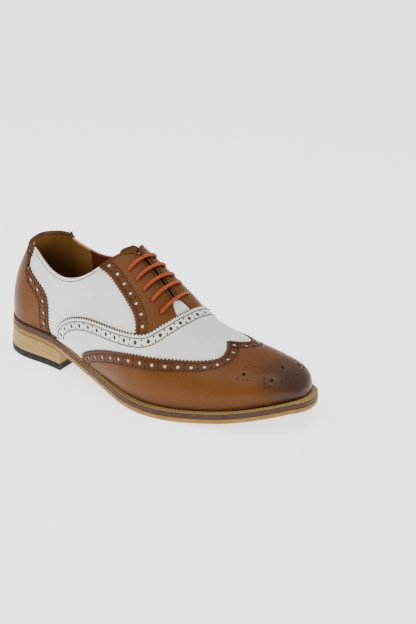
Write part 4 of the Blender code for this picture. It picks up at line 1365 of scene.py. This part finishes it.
def counter():
    parts = []
    for side in (-1, 1):
        front_line = seam(COUNTER_LINE, side)
        top = collar_point(COUNTER_LINE[0][0], side)
        front_line = front_line[np.abs(front_line[:, 1]) > abs(top[1]) + 1.5 * MM]
        parts.append(spaced(np.concatenate([[top], front_line]), 1.0 * MM))
    strap = np.array(heel_fan(60, collar_height))
    teeth_l = gimped(parts[0], TOOTH, TOOTH_DEPTH)
    teeth_m = gimped(parts[1], TOOTH, -TOOTH_DEPTH)
    front = COUNTER_LINE[-1][0]
    foot_m = feather_path(front, HEEL_S, 1, 30)
    foot_l = feather_path(HEEL_S, front, -1, 30)
    heel = np.array(heel_fan(60))[::-1]
    outer = np.concatenate([teeth_l[::-1], strap, teeth_m, foot_m[1:], heel, foot_l[:-1]])
    holes = strip(parts[0], -1).join(strip(parts[1], 1))
    keep = within(holes.centres, outer)
    holes = Holes(holes.centres[keep], holes.radii[keep])
    tab = collar_back(COUNTER_LINE[0][0])
    folded = edging("back_tab", tab, BACK_TAB, TAN, "counter")
    attribute(folded, "burnish_and_shade", np.full(len(folded.data.vertices), 0.5))
    rows = [down(tab, 3.2 * MM), row_line(parts[0], -1, EDGE_ROW), row_line(parts[0], -1, INNER_ROW),
            row_line(parts[1], 1, EDGE_ROW), row_line(parts[1], 1, INNER_ROW)]
    piece = overlay("counter", "counter", outer, holes, rows, SEAM_DEPTH, -0.2 * MM, FACE_LIFT, TAN)
    rows_dark.extend((line, FACE_LIFT + 0.02 * MM) for line in rows)
    return piece, parts


def places(piece):
    """Pattern coordinates and positions of a panel's points."""
    count = len(piece.data.vertices)
    flat, points = np.empty((2, count), np.float32), np.empty(3 * count, np.float32)
    for row, name in enumerate(("p", "q")):
        piece.data.attributes[name].data.foreach_get("value", flat[row])
    piece.data.vertices.foreach_get("co", points)
    return flat.T.astype(float), points.reshape(-1, 3).astype(float)


def near_seam(flat, lines, width=10 * MM):
    """1 within the strip along the seams, 0 beyond it."""
    gap = np.min([distance(flat, line) for line in lines], axis=0)
    return smooth((width - gap) / (2 * MM))


def over_welt(points):
    """Height of points above the feather."""
    return points[:, 2] - feather_z(np.clip(points[:, 0] - ROW[0], 0, LAST_LENGTH))


wing_piece = wing()
hole_shade_sheet()
vamp()
facings = [facing(-1), facing(1)]
counter_piece, counter_lines = counter()
RIDGE_END = RIDGE_LENGTH[-1]
TOE_SPOT = place(np.array([(RIDGE_END - 0.014, -0.003)]), 0.0)[0]

flat, points = places(wing_piece)
from_toe = np.linalg.norm(points - TOE_SPOT, axis=1)
above = over_welt(points)
burnish_and_shade = 0.80 * smooth((0.044 - from_toe) / 0.038)
# Painted shade: darker in the lowest 13 mm above the welt, where the lower sides fall in shade.
burnish_and_shade = np.maximum(burnish_and_shade, 0.40 * smooth((0.013 - above) / 0.013))
attribute(wing_piece, "burnish_and_shade", np.maximum(burnish_and_shade, 0.30 * near_seam(flat, [WING_EDGE])))
for piece, line in facings:
    attribute(piece, "burnish_and_shade", 0.22 * near_seam(places(piece)[0], [line]))
flat, points = places(counter_piece)
above = over_welt(points)
# Painted shade: darker in the lowest 12 mm above the welt, where the lower sides fall in shade.
burnish_and_shade = 0.35 * smooth((0.012 - above) / 0.012)
attribute(counter_piece, "burnish_and_shade", np.maximum(burnish_and_shade, 0.25 * near_seam(flat, counter_lines)))
flat = places(lining)[0]
# Painted shade: the lining darkens from 6 mm inside the mouth towards the deep colour, deeper into the shoe.
attribute(lining, "burnish_and_shade", 0.92 * smooth((distance(flat, MOUTH) - 0.006) / 0.034))
attribute(lining, "front", smooth((flat[:, 0] - FRONT_LINING) / (0.3 * MM) + 0.5))

# Tongue, its top just behind the facings and lower under the laces
tongue_first = flat_point(TONGUE_STATIONS[0], 0.0, -1)[0] + 0.0025
tongue_last = flat_point(TONGUE_STATIONS[1], 0.0, -1)[0]
tongue_p = tongue_first + (tongue_last - tongue_first) * np.linspace(0, 1, 60) ** 1.5
reach = np.clip((tongue_p - tongue_first) / 0.020, 0, 1)
tongue_half = TONGUE_HALF * (0.22 + 0.73 * (1 - (1 - reach) ** 2.6) ** 0.5)
tongue_middle = 0.0012 * (1 - reach)
sides = [np.stack([tongue_p, tongue_middle + side * tongue_half], -1) for side in (-1, 1)]
tongue_outer = np.concatenate([sides[0], sides[1][::-1]])


def tongue_high(flat):
    return (-2.5 - 2.7 * smooth((flat[:, 0] - tongue_first - 0.004) / 0.012)) * MM


tongue_edge = np.concatenate([sides[1][::-1][12:], sides[0][1:48]])
tongue_row = offset(spaced(tongue_edge, 1.0 * MM), 2.4 * MM)
tongue_row = tongue_row[within(tongue_row, tongue_outer)]
tongue = panel("tongue_leather", tongue_outer, NO_HOLES, [(tongue_row, 0.18 * MM, 0.6 * MM)],
               lambda flat: tongue_high(flat) - 2.0 * MM, tongue_high, TAN, pitch=3 * MM)
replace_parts(tongue, "tongue")
rows_dark.append((tongue_row, raised(tongue_high)))

collar_sides = [collar_side(side, COUNTER_LINE[0][0] - 0.003) for side in (-1, 1)]
for line, name in zip(collar_sides, ("lateral_fold", "medial_fold")):
    line = spaced(np.array(line), 1.0 * MM)
    edging(name, line, COLLAR_FOLD, WHITE, "upper")
    rows_white.append((down(line, 2.6 * MM)[3:-4], 0.12 * MM))
whole = collar_side(-1, HEEL_S) + heel_fan(80, collar_height) + collar_side(1, HEEL_S)[::-1]
edging("lining_fold", spaced(np.array(whole), 1.0 * MM), LINING_FOLD, LINING, "upper")
stitches("dark_stitches", rows_dark, THREAD)
stitches("quarter_stitches", rows_white, THREAD, length=2.5 * MM, radius=0.46 * MM)

# Lace

LACE_R = 0.5 * LACE_DIAMETER
TOP_LIFT = 1.2 * MM
UNDER = -3.75 * MM


def bar(row, toward):
    """Path over one bar, up through one eyelet and down through the other; toward is the side it ends on."""
    (near_p, near), (far_p, far) = LACE_ENDS[row]
    steps = [(-0.2, UNDER), (0.0, -1.5 * MM), (0.0, 0.6 * MM), (0.5, TOP_LIFT + 1.3 * MM)]
    path = [(near + out * MM, lift) for out, lift in steps]
    for k in range(1, 12):
        t = k / 12
        path.append((near + 1.6 * MM + (far - near - 3.2 * MM) * t,
                     TOP_LIFT + LACE_R + LACE_ARCH * math.sin(math.pi * t) ** 0.7))
    path += [(far - out * MM, lift) for out, lift in steps[::-1]]
    if toward < 0:
        path = path[::-1]
    shares = [min(1, max(0, (q - near) / (far - near))) for q, lift in path]
    return [(near_p + (far_p - near_p) * share, q, lift) for share, (q, lift) in zip(shares, path)]


def run_under(start, end, side, shift):
    """Hidden run along the inside of the facing between two rows."""
    a, b = [LACE_ENDS[row][0 if side < 0 else 1] for row in (start, end)]
    return [(a[0] + (b[0] - a[0]) * t,
             a[1] + (b[1] - a[1]) * t + side * (0.2 * MM + shift * math.sin(math.pi * t)), UNDER)
            for t in np.linspace(0.12, 0.88, 8)]


first_half = (bar(4, -1) + run_under(4, 3, -1, 0.0) + bar(3, 1) + run_under(3, 1, 1, 3.2 * MM) + bar(1, -1)
              + run_under(1, 0, -1, -3.4 * MM)[:5])
second_half = (run_under(4, 2, 1, -3.4 * MM) + bar(2, -1) + run_under(2, 0, -1, 3.2 * MM) + bar(0, 1))
lace_plan = second_half[::-1] + first_half
lace_plan = np.array(lace_plan)
lace_path = place(lace_plan[:, :2], lace_plan[:, 2])


def rounded(path, pitch):
    """Smooth path through points, at an even pitch."""
    path = np.asarray(path, float)
    for _ in range(3):
        cut = np.empty((2 * len(path) - 2, 3))
        cut[0::2] = 0.75 * path[:-1] + 0.25 * path[1:]
        cut[1::2] = 0.25 * path[:-1] + 0.75 * path[1:]
        path = np.concatenate([path[:1], cut, path[-1:]])
    lengths = run_lengths(path)
    at = np.linspace(0, lengths[-1], int(lengths[-1] / pitch))
    return np.stack([np.interp(at, lengths, path[:, k]) for k in range(3)], -1)


lace = tube("lace", rounded(lace_path, 0.6 * MM), LACE_R, 12, CORD)
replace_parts(lace, *[f"lace_bar_{number}" for number in range(1, 6)])


# Sole

def dense_outline(extra):
    """Sole edge as a dense smooth loop, its outward directions and the lengths along it."""
    loop = foot_loop(420, 44)
    closed = np.concatenate([loop, loop[:1]])
    lengths = run_lengths(closed)
    at = np.linspace(0, lengths[-1], 1080, endpoint=False)
    loop = np.stack([np.interp(at, lengths, closed[:, k]) for k in (0, 1)], -1)
    for _ in range(6):
        loop = 0.5 * loop + 0.25 * (np.roll(loop, 1, axis=0) + np.roll(loop, -1, axis=0))
    return *moved_out(loop, extra), at


def sole_piece(name, profile, material, node_name, rest=False, notch=None):
    """Layer swept round the outline; profile rows are (beyond the edge, drop below the feather)."""
    rows = []
    for extra, drop in profile:
        loop, _, at = dense_outline(extra * MM)
        z = sole_z(loop[:, 0], drop * MM)
        if notch is not None:
            z = z - notch(at, extra)
        if rest:
            z = np.maximum(z, 0.0)
        rows.append(np.column_stack([loop, z]) + ROW)
    count = len(rows[0])
    points = np.concatenate(rows)
    faces = sweep(count, len(rows))
    half = count // 2
    for base, flip in ((0, False), ((len(rows) - 1) * count, True)):
        for k in range(half - 1):
            face = (base + k + 1, base + k, base + (count - k) % count, base + count - k - 1)
            if k == 0:
                face = (base + 1, base, base + count - 1)
            faces.append(face[::-1] if flip else face)
        last = (base + half, base + half - 1, base + half + 1)
        faces.append(last[::-1] if flip else last)
    piece = mesh_object(name, points, faces, [material], sharp=50)
    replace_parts(piece, node_name)
    return piece


def sole_z(x, drop):
    return feather_z(np.clip(x, 0, LAST_LENGTH)) - drop


def wheel(at, extra):
    """Notches pressed into the welt by a fudge wheel."""
    depth = 0.55 * MM * smooth((extra + 4.4) / 1.6)
    return depth * (1 - np.abs(np.sin(math.pi * at / (5.4 * MM)))) ** 2


# mm beyond the edge and mm below the feather, round each layer's section
T = CLEARANCE / MM
W = T + WELT_WALL / MM
MID = T + W
MID_LOW = MID + MIDSOLE_WALL / MM
OUT = T + MID_LOW
OUT_LOW = SOLE_WALL / MM
WELT_EDGE = [
    (-9, T), (-5.4, T), (-4.2, T), (-3.3, T - 0.1), (-2.3, T - 0.15), (-1.2, T - 0.05),
    (-0.5, T + 0.25), (-0.3, T + 0.6), (-0.8, T + 0.75), (-0.9, W), (-9, W),
]
MIDSOLE_EDGE = [
    (-9, MID), (-0.85, MID), (-0.75, T + 0.95), (-0.45, T + 0.85), (-0.1, T + 1.1),
    (0.0, MID_LOW - 0.3), (-0.3, MID_LOW), (-9, MID_LOW),
]
OUTSOLE_EDGE = [
    (-9, OUT), (-0.1, OUT), (0.2, OUT + 0.3), (0.3, OUT + 2.0),
    (0.1, OUT_LOW - 0.4), (-0.4, OUT_LOW), (-9, OUT_LOW),
]
welt = sole_piece("welt_edge", WELT_EDGE, WELT, "welt", notch=wheel)
welt_x = np.array([point.co.x for point in welt.data.vertices]) - ROW[0]
attribute(welt, "burnish_and_shade", 0.9 * smooth((HEEL_LENGTH + 0.012 - welt_x) / 0.016))
attribute(welt, "edge", np.full(len(welt_x), 2.0))


def sole_sew(name, extra, drop, upright, pitch, length, radius, material):
    """Stitches round the sole from the heel breast forward."""
    loop, outward, at = dense_outline(extra)
    centres = np.arange(2 * pitch, at[-1] - 2 * pitch, pitch)
    ring = np.column_stack([loop, sole_z(loop[:, 0], drop)]) + ROW
    triple = [np.stack([np.interp(centres + step, at, ring[:, k]) for k in range(3)], -1)
              for step in (-0.5 * length, 0.0, 0.5 * length)]
    out = np.stack([np.interp(centres, at, outward[:, k]) for k in (0, 1)] + [np.zeros(len(centres))], -1)
    ups = (1 - upright) * out + upright * np.array([0, 0, 1.0])
    ups /= np.linalg.norm(ups, axis=1)[:, None]
    keep = triple[1][:, 0] - ROW[0] > HEEL_LENGTH
    start, middle, end, ups = (part[keep] for part in (*triple, ups))
    return sew(name, start, middle + ups * 0.4 * radius, end, ups, material, radius)


sole_sew("welt_stitches", -3.3 * MM, (T - 0.1) * MM, 1.0, 3.0 * MM, 2.3 * MM, 0.38 * MM, WELT_THREAD)
sole_piece("midsole_edge", MIDSOLE_EDGE, MIDSOLE, "midsole")
sole_piece("outsole_edge", OUTSOLE_EDGE, OUTSOLE, "outsole", rest=True)


def heel_loop(extra, hollow):
    """Plan of the heel, lateral corner round the back to the medial corner, then the breast."""
    loop, _, _ = dense_outline(extra)
    half = len(loop) // 2
    front = HEEL_LENGTH
    lateral, medial = loop[:half], loop[half:]
    keep_l = lateral[lateral[:, 0] < front - 0.0006]
    keep_m = medial[medial[:, 0] < front - 0.0006]
    corner_l = (front, float(np.interp(front, lateral[:, 0], lateral[:, 1])))
    corner_m = (front, float(np.interp(front, medial[::-1, 0], medial[::-1, 1])))
    ring = np.concatenate([[corner_l], keep_l[::-1], keep_m[::-1], [corner_m]])
    lengths = run_lengths(ring)
    at = np.linspace(0, lengths[-1], 180)
    ring = np.stack([np.interp(at, lengths, ring[:, k]) for k in (0, 1)], -1)
    t = np.linspace(0, 1, 42)[1:-1]
    breast = np.stack([front - hollow * np.sin(math.pi * t) ** 0.8,
                       ring[-1, 1] + (ring[0, 1] - ring[-1, 1]) * t], -1)
    return np.concatenate([ring, breast])


def heel_piece(name, levels, material, node_name):
    """Closed stack of heel plans; levels are (height function, plan grown by)."""
    rows = []
    for height, grow in levels:
        loop = heel_loop(grow, BREAST_HOLLOW)
        z = height(loop[:, 0])
        rows.append(np.column_stack([loop, z]) + ROW)
    count = len(rows[0])
    points = np.concatenate(rows)
    faces = [(a, d, c, b) for a, b, c, d in sweep(count, len(rows))]
    for base, flip in ((0, False), ((len(rows) - 1) * count, True)):
        flat = [Vector(point[:2]) for point in points[base:base + count]]
        made = delaunay_2d_cdt(flat, [(k, (k + 1) % count) for k in range(count)], [], 1, 1e-9)
        for face in made[2]:
            corners = [made[3][k][0] + base for k in face]
            faces.append(tuple(corners[::-1] if flip else corners))
    piece = mesh_object(name, points, faces, [material], sharp=40)
    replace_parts(piece, node_name)
    return piece


def stack_top(x):
    return sole_z(x, SOLE_WALL) - CLEARANCE - FLAT_REST


def stack_level(t):
    return lambda x: stack_top(x) * (1 - t) + (TOP_LIFT_WALL + CLEARANCE) * t


stack_rows = []
LIFTS = 4
for number in range(LIFTS):
    a, b = number / LIFTS, (number + 1) / LIFTS
    for t, inset in ((a + 0.004, 0.12), (a + 0.03, 0.0), (b - 0.03, 0.0), (b - 0.004, 0.12)):
        stack_rows.append((stack_level(t), HEEL_TAPER * t - inset * MM))
heel_piece("stack_lifts", stack_rows, STACK, "heel_stack")
heel_piece("rubber_lift", [
    (lambda x: np.full(len(x), TOP_LIFT_WALL), HEEL_TAPER - 0.2 * MM),
    (lambda x: np.full(len(x), TOP_LIFT_WALL - 0.3 * MM), HEEL_TAPER),
    (lambda x: np.full(len(x), 0.4 * MM), HEEL_TAPER),
    (lambda x: np.full(len(x), 0.0), HEEL_TAPER - 0.4 * MM)], RUBBER, "heel_top_lift")
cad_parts["insole"].data.materials.clear()
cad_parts["insole"].data.materials.append(LINING)

# Stage

FLOOR_GLOW = 1.6
SKY_GLOW = 0.85
floor_mesh = bpy.data.meshes.new("floor")
floor_mesh.from_pydata([(-4, -4, 0), (4, -4, 0), (4, 4, 0), (-4, 4, 0)], [], [(0, 1, 2, 3)])
floor = bpy.data.objects.new("floor", floor_mesh)
bpy.context.collection.objects.link(floor)
floor.location.z = -0.0003
floor_paint, _, floor_shader = new_material("floor_paper")
for socket, value in (("Base Color", (0.90, 0.90, 0.90, 1)), ("Emission Color", (1, 1, 1, 1)),
                      ("Emission Strength", FLOOR_GLOW), ("Roughness", 0.8)):
    floor_shader.inputs[socket].default_value = value
floor_mesh.materials.append(floor_paint)

world = bpy.data.worlds.new("studio")
bpy.context.scene.world = world
world.use_nodes = True
sky = world.node_tree.nodes["Background"].inputs
sky["Color"].default_value = (1, 1, 1, 1)
sky["Strength"].default_value = SKY_GLOW


def softbox(name, place_at, aim, size, power):
    data = bpy.data.lights.new(name, "AREA")
    data.shape = "RECTANGLE"
    data.size, data.size_y = size
    data.energy = power
    lamp = bpy.data.objects.new(name, data)
    bpy.context.collection.objects.link(lamp)
    lamp.location = place_at
    lamp.rotation_euler = (Vector(aim) - Vector(place_at)).to_track_quat("-Z", "Y").to_euler()


softbox("top_box", (0.1, -0.1, 1.2), (0, 0, 0.03), (1.0, 1.0), 9.0)
softbox("side_box", (-0.9, -1.1, 0.7), (0, 0, 0.05), (0.8, 0.6), 6.0)

# Camera

CAMERA_AZ, CAMERA_EL, CAMERA_ROLL, CAMERA_FAR = 40.0, 25.0, 0.5, 1.8
CAMERA_LENS = 123.26
CAMERA_SHIFT = (0.0866, 0.0454)
TARGET = Vector((0.148 + ROW[0], ROW[1], 0.040))
az, el, roll = (math.radians(value) for value in (CAMERA_AZ, CAMERA_EL, CAMERA_ROLL))
back = Vector((math.sin(az) * math.cos(el), -math.cos(az) * math.cos(el), math.sin(el)))
right = Vector((math.cos(az), math.sin(az), 0))
up = back.cross(right)
turned_right = right * math.cos(roll) + up * math.sin(roll)
turned_up = up * math.cos(roll) - right * math.sin(roll)
camera_data = bpy.data.cameras.new("camera")
camera_data.lens = CAMERA_LENS
camera_data.sensor_fit = "VERTICAL"
camera_data.sensor_height = 36.0
camera_data.shift_x, camera_data.shift_y = CAMERA_SHIFT
camera = bpy.data.objects.new("camera", camera_data)
bpy.context.collection.objects.link(camera)
turn = Matrix((turned_right, turned_up, back)).transposed()
camera.matrix_world = Matrix.Translation(TARGET + back * CAMERA_FAR) @ turn.to_4x4()
bpy.context.scene.camera = camera
